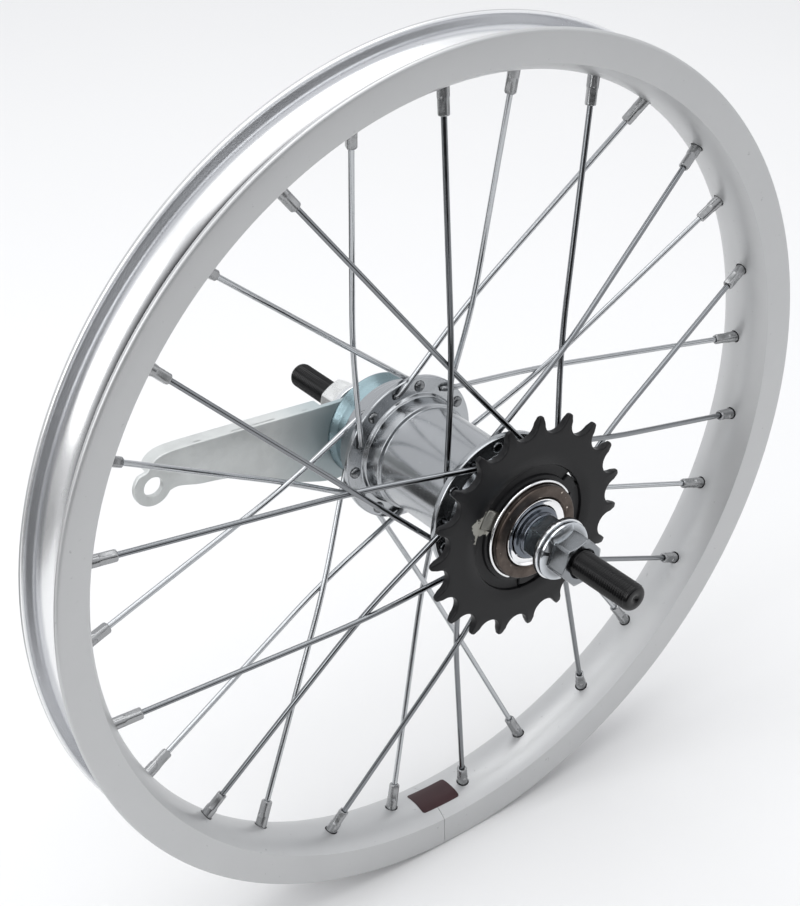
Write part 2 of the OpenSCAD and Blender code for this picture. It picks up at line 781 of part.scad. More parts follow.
rim();
rim_sticker();
nipples();
spokes_drive_outer();
spokes_drive_inner();
spokes_left_outer();
spokes_left_inner();
hub_shell();
shell_dust_cap();
axle();
right_cone();
right_locknut();
right_washer();
right_nut();
left_brake_cone();
left_dust_cap();
brake_arm();
left_locknut();
left_washer();
left_nut();
driver();
sprocket();
snap_ring();
driver_dust_cap();
clutch_cone();
retarder_spring();
brake_shoe_upper();
brake_shoe_lower();
drive_balls();
drive_cage();
left_balls();
left_cage();
driver_balls();
driver_cage();
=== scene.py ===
import math
import random
from collections import namedtuple

import bmesh
import bpy
import numpy as np
from mathutils import Matrix, Vector


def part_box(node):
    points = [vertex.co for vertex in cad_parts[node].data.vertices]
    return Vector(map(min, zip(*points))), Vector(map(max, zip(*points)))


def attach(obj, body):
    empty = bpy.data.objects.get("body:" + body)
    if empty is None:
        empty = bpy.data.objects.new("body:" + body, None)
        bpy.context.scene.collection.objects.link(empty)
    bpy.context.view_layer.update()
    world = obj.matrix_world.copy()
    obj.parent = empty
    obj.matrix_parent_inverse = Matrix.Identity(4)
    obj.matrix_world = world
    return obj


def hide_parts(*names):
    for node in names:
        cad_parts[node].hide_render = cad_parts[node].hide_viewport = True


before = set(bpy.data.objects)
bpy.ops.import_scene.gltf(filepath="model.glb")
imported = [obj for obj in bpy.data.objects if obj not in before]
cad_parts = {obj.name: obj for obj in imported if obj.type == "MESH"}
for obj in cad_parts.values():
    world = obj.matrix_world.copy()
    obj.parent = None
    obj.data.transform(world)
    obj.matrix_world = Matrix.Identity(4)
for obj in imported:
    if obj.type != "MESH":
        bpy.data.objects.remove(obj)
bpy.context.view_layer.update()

random.seed(7)
MM = 0.001

# ------------------------------------------------------------------ sizes read from the CAD frame


def box_mm(node):
    low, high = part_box(node)
    return [v / MM for v in low], [v / MM for v in high]


RIM_R, RIM_HALF, _ = box_mm("rim")[1]
FLANGE_R, SHELL_END, _ = box_mm("hub_shell")[1]
AXLE_R, AXLE_END, _ = box_mm("axle")[1]
sprocket_low, sprocket_high = box_mm("sprocket")
SPROCKET_FRONT = sprocket_low[1]
SPROCKET_BACK = sprocket_high[1]
TIP_R = max(sprocket_high[0], -sprocket_low[0], sprocket_high[2], -sprocket_low[2])
washer_low, washer_high = box_mm("right_washer")
WASHER_R = washer_high[0]
nut_low, nut_high = box_mm("right_nut")
lock_low, lock_high = box_mm("right_locknut")

# ------------------------------------------------------------------ sizes that repeat the design
# lengths in mm and angles in degrees; R is a radius about the axle, and HALF a distance to either side
BED_R = RIM_R - 15.5
FOLD_R = RIM_R - 11.5
BED_HALF = 10.9
BED_CURVE = 2.2
SPOKES = 28
SPOKE_STEP = 360 / SPOKES
RIM_PHASE = 93.2
LACE = 2 * 360 / 14
HOLE_R = FLANGE_R - 3.3
FLANGE_MID = 24.2
FLANGE_HALF = 1.3
INNER_FACE, OUTER_FACE = FLANGE_MID - FLANGE_HALF, FLANGE_MID + FLANGE_HALF
STAGGER = 1.9
CROSS_MID = 17.55
CROSS_HALF = 1.15
TEETH = 19
TOOTH_PHASE = 84.7
CHAIN_PITCH = 12.7
PITCH_R = CHAIN_PITCH / 2 / math.sin(math.pi / TEETH)
BEVEL_R = 38.4
LUGS = (151, 31, 271)
LUG_WIDTH, LUG_TOP_R, LUG_ROOT_R = 7.0, 22.4, 16.8
SPIGOT_R, SLEEVE_R = 17.0, 9.9
HEX, ARM_HEX = 15.0, 17.0
NUT_BORE = 4.8
NUT_FLANGE = (10.4, 2.2)
ARM_Y0, ARM_Y1 = 45.0, 47.0
TIP_HOLE_R = 3.75


# ------------------------------------------------------------------ mesh building
def make(name, verts, faces, sharp=32):
    """A mesh object from points in millimetres."""
    mesh = bpy.data.meshes.new(name)
    mesh.from_pydata((np.asarray(verts, dtype=float) * MM).tolist(), [], faces)
    bm = bmesh.new()
    bm.from_mesh(mesh)
    bmesh.ops.remove_doubles(bm, verts=bm.verts, dist=1e-7)
    bmesh.ops.recalc_face_normals(bm, faces=bm.faces)
    bm.to_mesh(mesh)
    bm.free()
    mesh.shade_smooth()
    mesh.set_sharp_from_angle(angle=math.radians(sharp))
    obj = bpy.data.objects.new(name, mesh)
    bpy.context.scene.collection.objects.link(obj)
    return obj


def skin(rows, count, looped=False, capped=True):
    """Faces between rows of count points each: looped back to the first row, or open with or without caps."""
    faces = []
    for k in range(rows if looped else rows - 1):
        m = (k + 1) % rows
        for c in range(count):
            d = (c + 1) % count
            faces.append((k * count + c, k * count + d, m * count + d, m * count + c))
    if capped and not looped:
        faces.append(tuple(range(count)))
        faces.append(tuple((rows - 1) * count + c for c in reversed(range(count))))
    return faces


def softened(points, radius, closed=True):
    """The same outline with its corners rounded, apart from those that hardly turn."""
    steps, slight_turn = 3, 12
    pts = [np.array(p, dtype=float) for p in points]
    count = len(pts)
    out = []
    for k, p in enumerate(pts):
        if not closed and k in (0, count - 1):
            out.append(p)
            continue
        a = pts[k - 1] - p
        b = pts[(k + 1) % count] - p
        la, lb = np.linalg.norm(a), np.linalg.norm(b)
        turn = math.degrees(math.acos(max(-1, min(1, -np.dot(a, b) / (la * lb)))))
        if turn < slight_turn:
            out.append(p)
            continue
        cut = min(radius, la * 0.4, lb * 0.4)
        start, end = p + a / la * cut, p + b / lb * cut
        for s in range(steps + 1):
            t = s / steps
            out.append((1 - t) ** 2 * start + 2 * t * (1 - t) * p + t * t * end)
    return out


def lathe(name, profile, segments=192, sharp=32):
    """Turns a closed profile of (radius, y) points about the axle."""
    angles = np.radians(360 * np.arange(segments) / segments)
    r = np.array([p[0] for p in profile])
    y = np.array([p[1] for p in profile])
    verts = np.zeros((segments, len(profile), 3))
    verts[:, :, 0] = np.cos(angles)[:, None] * r[None, :]
    verts[:, :, 1] = y[None, :]
    verts[:, :, 2] = np.sin(angles)[:, None] * r[None, :]
    return make(name, verts.reshape(-1, 3), skin(segments, len(profile), looped=True), sharp)


def frames_along(path):
    """Two directions across the path at each point, carried along without twisting."""
    path = np.asarray(path, dtype=float)
    tangent = np.gradient(path, axis=0)
    tangent /= np.linalg.norm(tangent, axis=1)[:, None]
    side = np.cross(tangent[0], [0.31, 0.17, 0.93])
    side /= np.linalg.norm(side)
    sides = []
    for t in tangent:
        side = side - t * np.dot(side, t)
        side /= np.linalg.norm(side)
        sides.append(side.copy())
    sides = np.array(sides)
    return sides, np.cross(tangent, sides)


def tube_parts(path, radii, count=20):
    """Points and faces of a round bar along a path, with a radius for each point."""
    path = np.asarray(path, dtype=float)
    side, up = frames_along(path)
    angle = np.radians(360 * np.arange(count) / count)
    ring = np.cos(angle)[None, :, None] * side[:, None, :] + np.sin(angle)[None, :, None] * up[:, None, :]
    verts = path[:, None, :] + ring * np.asarray(radii, dtype=float)[:, None, None]
    return verts.reshape(-1, 3), skin(len(path), count)


def gather(parts):
    """Several (points, faces) put together."""
    verts, faces, base = [], [], 0
    for v, f in parts:
        verts.append(np.asarray(v, dtype=float))
        faces += [tuple(i + base for i in face) for face in f]
        base += len(v)
    return np.concatenate(verts), faces


def cut(obj, cutters):
    """Takes the cutters, given as (points, faces) in millimetres, out of obj."""
    verts, faces = gather(cutters)
    tool = make("cutter", verts, faces)
    modifier = obj.modifiers.new("cut", "BOOLEAN")
    modifier.operation = "DIFFERENCE"
    modifier.solver = "EXACT"
    modifier.object = tool
    bpy.context.view_layer.update()
    graph = bpy.context.evaluated_depsgraph_get()
    mesh = bpy.data.meshes.new_from_object(obj.evaluated_get(graph))
    obj.modifiers.clear()
    obj.data = mesh
    bpy.data.objects.remove(tool)
    mesh.set_sharp_from_angle(angle=math.radians(32))
    return obj


def bar(p, q, radius, count=32):
    """A straight round bar from p to q as points and faces."""
    return tube_parts([p, (np.array(p) + np.array(q)) / 2, q], [radius] * 3, count)


def block(center, size, angle=0):
    """A box as points and faces, turned about the axle."""
    cx, cy, cz = center
    hx, hy, hz = (s / 2 for s in size)
    ends = (-1, 1)
    pts = np.array([(cx + x * hx, cy + y * hy, cz + z * hz) for x in ends for y in ends for z in ends])
    a = math.radians(angle)
    x = pts[:, 0] * math.cos(a) - pts[:, 2] * math.sin(a)
    z = pts[:, 0] * math.sin(a) + pts[:, 2] * math.cos(a)
    pts = np.stack([x, pts[:, 1], z], axis=1)
    return pts, [(0, 1, 3, 2), (4, 6, 7, 5), (0, 4, 5, 1), (2, 3, 7, 6), (0, 2, 6, 4), (1, 5, 7, 3)]


def on_wheel(r, angle, y):
    """The point at radius r, at an angle in degrees from the x axis, and at y along the axle."""
    a = math.radians(angle)
    return np.array([r * math.cos(a), y, r * math.sin(a)])


# ------------------------------------------------------------------ materials
def add_node(tree, kind, inputs=None, **props):
    """A node with its settings, and with each input linked to a socket or given a value."""
    n = tree.nodes.new(kind)
    for key, value in props.items():
        setattr(n, key, value)
    for key, value in (inputs or {}).items():
        if hasattr(value, "is_output"):
            tree.links.new(value, n.inputs[key])
        else:
            n.inputs[key].default_value = value
    return n


class Surface:
    """A small helper round one material's nodes."""

    def __init__(self, name, color, metallic, roughness):
        self.mat = bpy.data.materials.new(name)
        self.mat.use_nodes = True
        self.tree = self.mat.node_tree
        self.bsdf = self.tree.nodes["Principled BSDF"]
        self.bsdf.inputs["Base Color"].default_value = (*color, 1)
        self.bsdf.inputs["Metallic"].default_value = metallic
        self.bsdf.inputs["Roughness"].default_value = roughness
        self.coords = self.tree.nodes.new("ShaderNodeTexCoord").outputs["Object"]

    def node(self, kind, inputs=None, **props):
        return add_node(self.tree, kind, inputs, **props)

    def math(self, operation, a, b=0.0):
        return self.node("ShaderNodeMath", {0: a, 1: b}, operation=operation).outputs[0]

    def noise(self, scale, detail=3.0, vector=None):
        inputs = {"Vector": vector or self.coords, "Scale": scale, "Detail": detail, "Roughness": 0.55}
        return self.node("ShaderNodeTexNoise", inputs).outputs["Fac"]

    def turned(self):
        """Coordinates that only change with radius and with place along the axle."""
        split = self.node("ShaderNodeSeparateXYZ", {0: self.coords})
        flat = self.node("ShaderNodeCombineXYZ", {0: split.outputs[0], 1: split.outputs[2]})
        radius = self.node("ShaderNodeVectorMath", {0: flat.outputs[0]}, operation="LENGTH").outputs["Value"]
        return self.node("ShaderNodeCombineXYZ", {0: radius, 1: split.outputs[1]}).outputs[0]

    def radius(self):
        """Distance from the axle, in metres."""
        return self.node("ShaderNodeSeparateXYZ", {0: self.turned()}).outputs[0]

    def ramp(self, value, low, high, to_low=0.0, to_high=1.0):
        inputs = {"Value": value, "From Min": low, "From Max": high, "To Min": to_low, "To Max": to_high}
        return self.node("ShaderNodeMapRange", inputs).outputs["Result"]

    def mix(self, factor, a, b):
        n = self.node("ShaderNodeMix", data_type="RGBA")
        for index, value in ((0, factor), (6, a), (7, b)):
            if hasattr(value, "is_output"):
                self.tree.links.new(value, n.inputs[index])
            elif index == 0:
                n.inputs[0].default_value = value
            else:
                n.inputs[index].default_value = (*value, 1)
        return n.outputs[2]

    def set_color(self, socket):
        self.tree.links.new(socket, self.bsdf.inputs["Base Color"])

    def set_roughness(self, socket):
        self.tree.links.new(socket, self.bsdf.inputs["Roughness"])

    def bump(self, heights):
        """heights: (socket, distance in metres) pairs, each added on the last."""
        normal = None
        for socket, distance in heights:
            inputs = {"Height": socket, "Distance": distance, "Strength": 1.0}
            if normal is not None:
                inputs["Normal"] = normal
            normal = self.node("ShaderNodeBump", inputs).outputs["Normal"]
        self.tree.links.new(normal, self.bsdf.inputs["Normal"])


def satin_alloy(name, color, roughness, lines, scuffs):
    """Turned alloy: fine lines round the axle, a faint grain, small scuffs."""
    s = Surface(name, color, 1.0, roughness)
    rings = s.noise(2600, 2, s.turned())
    grain = s.noise(5200, 2)
    cloud = s.noise(38, 4)
    spots = s.noise(420, 3)
    scuff = s.ramp(spots, 0.66, 0.74)
    tone_change = s.ramp(cloud, 0.3, 0.75)
    shade = s.mix(tone_change, tuple(c * 0.96 for c in color), tuple(min(1, c * 1.03) for c in color))
    s.set_color(s.mix(s.math("MULTIPLY", scuff, scuffs), shade, tuple(c * 0.72 for c in color)))
    wear = s.math("ADD", s.ramp(cloud, 0.3, 0.7, roughness - 0.05, roughness + 0.05),
                  s.ramp(rings, 0.3, 0.7, -0.03, 0.03))
    s.set_roughness(s.math("ADD", wear, s.math("MULTIPLY", scuff, 0.12)))
    s.bump([(rings, 0.000006 * lines), (grain, 0.000004)])
    return s.mat


def rim_alloy():
    """Anodised side walls and bed, and a smoother channel for the tyre coloured with painted light: a
    near-white painted reflection on its floor, a painted shade strip down its middle, paler bead seats and
    painted highlights along the lips.
    """
    s = Surface("anodised_rim", (0.47, 0.475, 0.478), 0.75, 0.42)
    split = s.node("ShaderNodeSeparateXYZ", {0: s.coords})
    off_centre = s.math("ABSOLUTE", split.outputs[1], 0.0)
    rise = s.math("POWER", s.math("DIVIDE", off_centre, BED_HALF * MM), BED_CURVE)
    rise = s.math("MULTIPLY", rise, (FOLD_R - BED_R) * MM)
    above = s.math("GREATER_THAN", s.radius(), s.math("ADD", rise, (BED_R + 0.8) * MM))
    # distances from the rim's middle: the painted shade strip, the painted bright floor, the bead seats and
    # the lips
    tone_change, floor, seat, lips = 1.9 * MM, 5.8 * MM, 9.3 * MM, 10.45 * MM
    channel = s.math("MULTIPLY", above, s.math("LESS_THAN", off_centre, lips))
    rings = s.noise(2600, 2, s.turned())
    cloud = s.noise(38, 4)
    grain = s.noise(5200, 2)
    scuff = s.ramp(s.noise(480, 3), 0.7, 0.76)
    outside = s.mix(s.ramp(cloud, 0.3, 0.75), (0.52, 0.525, 0.528), (0.56, 0.565, 0.567))
    # painted light: the channel floor is near white for the reflection it shows and near black down its
    # middle as painted shade, and the bead seats are a paler grey
    floor_painted_light = s.mix(s.ramp(off_centre, tone_change, floor), (0.05, 0.05, 0.053), (0.86, 0.865, 0.87))
    channel_painted_light = s.mix(s.ramp(off_centre, seat - 0.7 * MM, seat), floor_painted_light, (0.62, 0.63, 0.65))
    # painted highlight: near-white colour along the inner tops of the lips
    lip_painted_highlight = s.ramp(s.radius(), (RIM_R - 0.9) * MM, (RIM_R - 0.3) * MM)
    color = s.mix(channel, outside, s.mix(lip_painted_highlight, channel_painted_light, (0.85, 0.855, 0.86)))
    s.set_color(s.mix(s.math("MULTIPLY", scuff, 0.4), color, (0.27, 0.27, 0.275)))
    plain = s.math("ADD", s.ramp(cloud, 0.3, 0.7, 0.38, 0.46), s.math("MULTIPLY", scuff, 0.1))
    s.set_roughness(s.math("MULTIPLY", plain, s.ramp(channel, 0, 1, 1.0, 0.6)))
    s.bump([(rings, 0.000003), (grain, 0.000003)])
    return s.mat


def polished(name, color, roughness, marks=0.2, dark_within=0):
    """Plated or ground steel with fine marks and slight staining, and darker inside a given radius in mm."""
    s = Surface(name, color, 1.0, roughness)
    rings = s.noise(3000, 2, s.turned())
    stain = s.noise(260, 4)
    pits = s.ramp(s.noise(2600, 2), 0.7, 0.78)
    clean = s.mix(s.ramp(stain, 0.35, 0.7), tuple(c * 0.95 for c in color), color)
    if dark_within:
        outside = s.ramp(s.radius(), (dark_within - 1) * MM, (dark_within + 1) * MM)
        clean = s.mix(outside, tuple(c * 0.4 for c in color), clean)
    s.set_color(clean)
    base = s.ramp(stain, 0.3, 0.7, max(0.02, roughness - 0.03), roughness + 0.04)
    s.set_roughness(s.math("ADD", base, s.math("MULTIPLY", pits, marks)))
    s.bump([(rings, 0.000001), (pits, 0.0000008)])
    return s.mat


def zinc(name, color, tint, roughness, spread, metal=0.9):
    """Zinc-plated steel: mottled crystals, and a tint that fades out over the spread of radius, in metres."""
    s = Surface(name, color, metal, roughness)
    patch = s.node("ShaderNodeTexVoronoi", {"Vector": s.coords, "Scale": 330.0, "Randomness": 1.0})
    crystal = s.node("ShaderNodeSeparateXYZ", {0: patch.outputs["Color"]}).outputs[0]
    cloud = s.noise(55, 4)
    fine = s.noise(900, 3)
    near = s.ramp(s.radius(), spread[0], spread[1], 1.0, 0.0)
    cool = s.math("MULTIPLY", near, s.ramp(cloud, 0.25, 0.7, 0.55, 1.0))
    light = s.mix(s.ramp(cloud, 0.3, 0.72), tuple(c * 0.78 for c in color), color)
    mottled = s.mix(s.math("MULTIPLY", crystal, 0.16), light, tuple(min(1, c * 1.2) for c in color))
    s.set_color(s.mix(cool, mottled, tint))
    s.set_roughness(s.math("ADD", s.ramp(crystal, 0, 1, roughness - 0.05, roughness + 0.05),
                           s.ramp(fine, 0.3, 0.7, -0.04, 0.04)))
    s.bump([(fine, 0.000008), (cloud, 0.00006)])
    return s.mat


def coated_black(name, color, roughness, gloss=0.5, worn=None):
    """Black satin coating with a faint orange peel and dust, and perhaps one bare spot at a place in mm."""
    s = Surface(name, color, 0.0, roughness)
    peel = s.noise(1300, 2)
    cloud = s.noise(90, 4)
    dust = s.ramp(s.noise(2400, 3), 0.66, 0.75)
    lifted = s.mix(s.ramp(cloud, 0.3, 0.75), color, tuple(c * 1.35 for c in color))
    coat = s.mix(s.math("MULTIPLY", dust, 0.12), lifted, (0.10, 0.10, 0.105))
    if worn is not None:
        away = s.node("ShaderNodeVectorMath", {0: s.coords, 1: Vector(worn) * MM}, operation="DISTANCE")
        ragged = s.math("ADD", away.outputs["Value"], s.ramp(s.noise(420, 3), 0.3, 0.7, -0.0024, 0.0024))
        coat = s.mix(s.ramp(ragged, 0.0038, 0.0043, 1.0, 0.0), coat, (0.33, 0.325, 0.29))
    s.set_color(coat)
    s.set_roughness(s.math("ADD", s.ramp(cloud, 0.3, 0.7, roughness - 0.05, roughness + 0.06),
                           s.math("MULTIPLY", dust, 0.15)))
    s.bump([(peel, 0.00001), (cloud, 0.00003)])
    s.bsdf.inputs["Specular IOR Level"].default_value = gloss
    return s.mat


def bronzed(name):
    """Heat-blued steel that has gone brown, with turned rings and bare glints."""
    color = (0.09, 0.072, 0.062)
    s = Surface(name, color, 1.0, 0.3)
    rings = s.noise(2400, 3, s.turned())
    cloud = s.noise(240, 4)
    glint = s.ramp(s.noise(700, 3), 0.69, 0.74)
    brown = s.mix(s.ramp(cloud, 0.3, 0.7), (0.06, 0.047, 0.04), (0.12, 0.098, 0.085))
    s.set_color(s.mix(glint, brown, (0.62, 0.55, 0.48)))
    s.set_roughness(s.math("SUBTRACT", s.ramp(rings, 0.3, 0.7, 0.3, 0.42), s.math("MULTIPLY", glint, 0.15)))
    s.bump([(rings, 0.000012), (glint, 0.00002)])
    return s.mat


RIM_MAT = rim_alloy()
SHELL_MAT = satin_alloy("turned_shell", (0.42, 0.435, 0.45), 0.21, lines=0.12, scuffs=0.15)
NIPPLE_MAT = polished("nickel_nipple", (0.36, 0.365, 0.37), 0.26)
# the same steel wire on both sides: the drive side's copy is painted darker, as painted shade for the dark
# the near spokes reflect
SHADED_DRIVE_SPOKE_MAT = polished("drive_spoke_painted_dark", (0.24, 0.25, 0.262), 0.09, dark_within=FLANGE_R - 0.5)
FAR_SPOKE_MAT = polished("brake_spoke", (0.50, 0.515, 0.53), 0.11, dark_within=FLANGE_R - 0.5)
WIRE_MAT = polished("bright_wire", (0.88, 0.885, 0.89), 0.14)
CHROME_MAT = polished("chrome_dish", (0.90, 0.90, 0.905), 0.07, 0.15)
PLATED_MAT = polished("bright_zinc", (0.80, 0.815, 0.83), 0.16)
NUT_MAT = polished("zinc_nut", (0.62, 0.65, 0.68), 0.15, dark_within=9.3)
DARK_MAT = polished("dark_steel", (0.15, 0.165, 0.19), 0.2)
LOCK_MAT = polished("blackened_nut", (0.36, 0.42, 0.47), 0.24)
BALL_MAT = polished("bearing_ball", (0.78, 0.78, 0.79), 0.06, 0.1)
CAGE_MAT = polished("pressed_cage", (0.46, 0.47, 0.48), 0.32)
SHOE_MAT = polished("brake_shoe", (0.42, 0.37, 0.28), 0.38)
ARM_MAT = zinc("zinc_arm", (0.68, 0.70, 0.69), (0.36, 0.44, 0.46), 0.38, (0.022, 0.045), metal=0.45)
CUP_MAT = zinc("zinc_cup", (0.24, 0.30, 0.32), (0.13, 0.20, 0.225), 0.3, (0.012, 0.030))
PALE_MAT = zinc("pale_zinc_nut", (0.84, 0.85, 0.84), (0.84, 0.85, 0.84), 0.3, (0.001, 0.002))
WORN_SPOT = on_wheel(21.8, LUGS[0] + 6, -40.6)
SPROCKET_MAT = coated_black("black_sprocket", (0.0065, 0.0065, 0.0072), 0.33, 0.2, worn=WORN_SPOT)
AXLE_MAT = coated_black("black_axle", (0.002, 0.002, 0.0022), 0.16, 0.34)
BRONZE_MAT = bronzed("bronzed_driver")
STICKER_MAT = coated_black("blank_sticker", (0.032, 0.012, 0.014), 0.38, 0.3)


def dress(obj, mat, body, replaced=()):
    """Gives a new piece its material and its body, and hides the CAD nodes it stands for."""
    obj.data.materials.clear()
    obj.data.materials.append(mat)
    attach(obj, body)
    if replaced:
        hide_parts(*replaced)
    return obj


# ------------------------------------------------------------------ rim
def bed(y):
    """Radius of the rim's face towards the hub."""
    return BED_R + (FOLD_R - BED_R) * min(abs(y) / BED_HALF, 1) ** BED_CURVE


bed_rows, well_rows, well_half = 18, 16, 9.3
outer_bed = [(bed(BED_HALF * k / bed_rows), BED_HALF * k / bed_rows) for k in range(-bed_rows, bed_rows + 1)]
lip = [(RIM_R - 1.6, RIM_HALF), (RIM_R - 0.5, RIM_HALF - 0.15), (RIM_R, RIM_HALF - 0.7), (RIM_R - 0.1, 10.3),
       (RIM_R - 0.8, 9.75), (RIM_R - 2.0, 9.8), (RIM_R - 3.6, 10.0), (RIM_R - 5.0, 9.9)]


def well(y):
    """Radius of the channel's floor, above the nipple heads and rising to the bead seats."""
    return BED_R + 5.9 + 3.6 * (abs(y) / well_half) ** 2.4


well_ys = [well_half * k / well_rows for k in range(well_rows, -well_rows - 1, -1)]
inner_bed = [(well(y), y) for y in well_ys]
soft_lip = softened(lip, 0.5, closed=False)
rim_profile = outer_bed + soft_lip + inner_bed + [(r, -y) for r, y in reversed(soft_lip)]


# rim, cross and elbow are points on the spoke: where it enters the rim, where it crosses another, and its
# elbow at the flange. face is the y of the flange face that its head sits on, head_way the side of that face
# the head is on, and outward the direction from the crossing to the rim.
Spoke = namedtuple("Spoke", "rim cross elbow face head_way outward")


def spoke_facts(i):
    """Spoke i, counted round the rim. Even ones go to the drive side. Every second spoke of a side has its
    elbow on the flange's outer face."""
    side = -1 if i % 2 == 0 else 1
    outer = (i // 2) % 2 == (1 if i % 2 == 0 else 0)
    rim_angle = RIM_PHASE - SPOKE_STEP * i
    hub_angle = rim_angle + (-LACE if outer else LACE)
    rim_part = BED_R * math.sin(math.radians(SPOKE_STEP))
    hub_part = HOLE_R * math.sin(math.radians(LACE - SPOKE_STEP))
    share = rim_part / (rim_part + hub_part)
    rim = on_wheel(BED_R, rim_angle, side * STAGGER)
    hub_flat = on_wheel(HOLE_R, hub_angle, 0)
    cross = on_wheel(BED_R, rim_angle, 0) * (1 - share) + hub_flat * share
    cross[1] = side * (CROSS_MID + (-CROSS_HALF if outer else CROSS_HALF))
    elbow = hub_flat.copy()
    elbow[1] = side * (OUTER_FACE + 2.8 if outer else INNER_FACE - 1.3)
    face = side * (INNER_FACE if outer else OUTER_FACE)
    head_way = -side if outer else side
    return Spoke(rim, cross, elbow, face, head_way, (rim - cross) / np.linalg.norm(rim - cross))


rim = lathe("rim_alloy", rim_profile, 720, sharp=28)
nipple_hole_r, valve_hole_r, seam_width = 2.42, 4.25, 0.16
spokes = [spoke_facts(i) for i in range(SPOKES)]
holes = [bar(s.rim - s.outward * 4, s.rim + s.outward * 3.2, nipple_hole_r, 40) for s in spokes]
seam_angle = RIM_PHASE - (SPOKES + 1) / 2 * SPOKE_STEP
valve_angle = seam_angle + 180
holes.append(bar(on_wheel(BED_R - 4, valve_angle, 0), on_wheel(BED_R + 8, valve_angle, 0), valve_hole_r, 56))
holes.append(block((BED_R + 8, 0, 0), (20, 40, seam_width), seam_angle))
cut(rim, holes)
dress(rim, RIM_MAT, "wheel", ("rim",))


def sticker_parts():
    """The blank sticker: a thin curved patch just off the bed, with rounded corners."""
    middle_y, arc, middle_angle = -1.05, 7.1, seam_angle + 0.8
    half_u, half_w, corner = 9.1, 5.45, 1.1
    under, thickness = 0.03, 0.11
    cols, rows = 40, 24
    pts_low, pts_high, faces = [], [], []
    for c in range(cols + 1):
        for k in range(rows + 1):
            x = (c / cols * 2 - 1) * half_u
            w = (k / rows * 2 - 1) * half_w
            over_x, over_w = abs(x) - (half_u - corner), abs(w) - (half_w - corner)
            if over_x > 0 and over_w > 0:
                reach = math.hypot(over_x, over_w)
                if reach > corner:
                    x = math.copysign(half_u - corner + over_x / reach * corner, x)
                    w = math.copysign(half_w - corner + over_w / reach * corner, w)
            y = middle_y + w
            angle = middle_angle + x / half_u * arc / 2
            pts_low.append(on_wheel(bed(y) - under, angle, y))
            pts_high.append(on_wheel(bed(y) - under - thickness, angle, y))
    total = len(pts_low)
    for c in range(cols):
        for k in range(rows):
            a = c * (rows + 1) + k
            quad = (a, a + 1, a + rows + 2, a + rows + 1)
            faces.append(quad)
            faces.append(tuple(i + total for i in reversed(quad)))
    edge = [c * (rows + 1) for c in range(cols + 1)] + [cols * (rows + 1) + k for k in range(1, rows + 1)]
    edge += [c * (rows + 1) + rows for c in range(cols - 1, -1, -1)] + [k for k in range(rows - 1, 0, -1)]
    for a, b in zip(edge, edge[1:] + edge[:1]):
        faces.append((a, b, b + total, a + total))
    return pts_low + pts_high, faces


sticker = make("rim_sticker_blank", *sticker_parts())
dress(sticker, STICKER_MAT, "wheel", ("rim_sticker",))


# ------------------------------------------------------------------ nipples
def nipple_parts(spoke):
    """One nipple: a round root, a squared shank for the key, a countersunk tip round the spoke."""
    length = 9.4
    count = 32
    outward = spoke.outward
    # (distance outward from the tip, round radius, half width of the square, or 0 for plain round)
    rows = [(1.6, 1.03, 0), (0.25, 1.05, 0), (0.02, 1.3, 0), (0.0, 1.55, 0), (0.12, 1.8, 1.62),
            (0.45, 1.98, 1.7), (2.4, 2.0, 1.7), (5.2, 2.0, 1.7), (5.75, 2.04, 1.86), (6.1, 2.06, 0),
            (length + 2.4, 2.06, 0), (length + 2.7, 1.9, 0)]
    spin = math.radians(random.uniform(0, 90))
    side = np.cross(outward, [0, 1, 0])
    side /= np.linalg.norm(side)
    up = np.cross(outward, side)
    tip = spoke.rim - outward * length
    verts = []
    for along, radius, square in rows:
        for c in range(count):
            a = 2 * math.pi * c / count + math.pi / count
            r = radius
            if square:
                r = min(radius, square / max(abs(math.cos(a)), abs(math.sin(a))))
            verts.append(tip + outward * along + (side * math.cos(a + spin) + up * math.sin(a + spin)) * r)
    return verts, skin(len(rows), count)


nipples = make("nipple_set", *gather([nipple_parts(spoke) for spoke in spokes]), sharp=24)
dress(nipples, NIPPLE_MAT, "wheel", ("nipples",))


# ------------------------------------------------------------------ spokes
def rounded_path(points, bends):
    """A path through straight runs with an arc of the given cut length at each inner point."""
    path = [np.array(points[0], dtype=float)]
    for k in range(1, len(points) - 1):
        p = np.array(points[k], dtype=float)
        a, b = np.array(points[k - 1]) - p, np.array(points[k + 1]) - p
        start = p + a / np.linalg.norm(a) * bends[k - 1]
        end = p + b / np.linalg.norm(b) * bends[k - 1]
        for s in range(9):
            t = s / 8
            path.append((1 - t) ** 2 * start + 2 * t * (1 - t) * p + t * t * end)
    path.append(np.array(points[-1], dtype=float))
    return path


# (height above the flange's face, radius) up a spoke's domed head
HEAD_SHAPE = ((-0.05, 1.0), (0.05, 1.95), (0.2, 2.08), (0.5, 1.98), (0.8, 1.65), (1.02, 1.05), (1.1, 0.4))


def spoke_parts(spoke):
    """One spoke's wire, with its elbow and a slight bend at the crossing, and its head."""
    wire_r, elbow_cut, cross_cut = 1.0, 1.9, 16
    start = spoke.elbow.copy()
    start[1] = spoke.face + spoke.head_way * 0.4
    stops = [start, spoke.elbow, spoke.cross, spoke.rim + spoke.outward * 1.5]
    path = rounded_path(stops, [elbow_cut, cross_cut])
    head = []
    for along, _ in HEAD_SHAPE:
        p = spoke.elbow.copy()
        p[1] = spoke.face + spoke.head_way * (0.05 + along)
        head.append(p)
    return gather([tube_parts(path, [wire_r] * len(path), 20),
                   tube_parts(head, [radius for _, radius in HEAD_SHAPE], 24)])


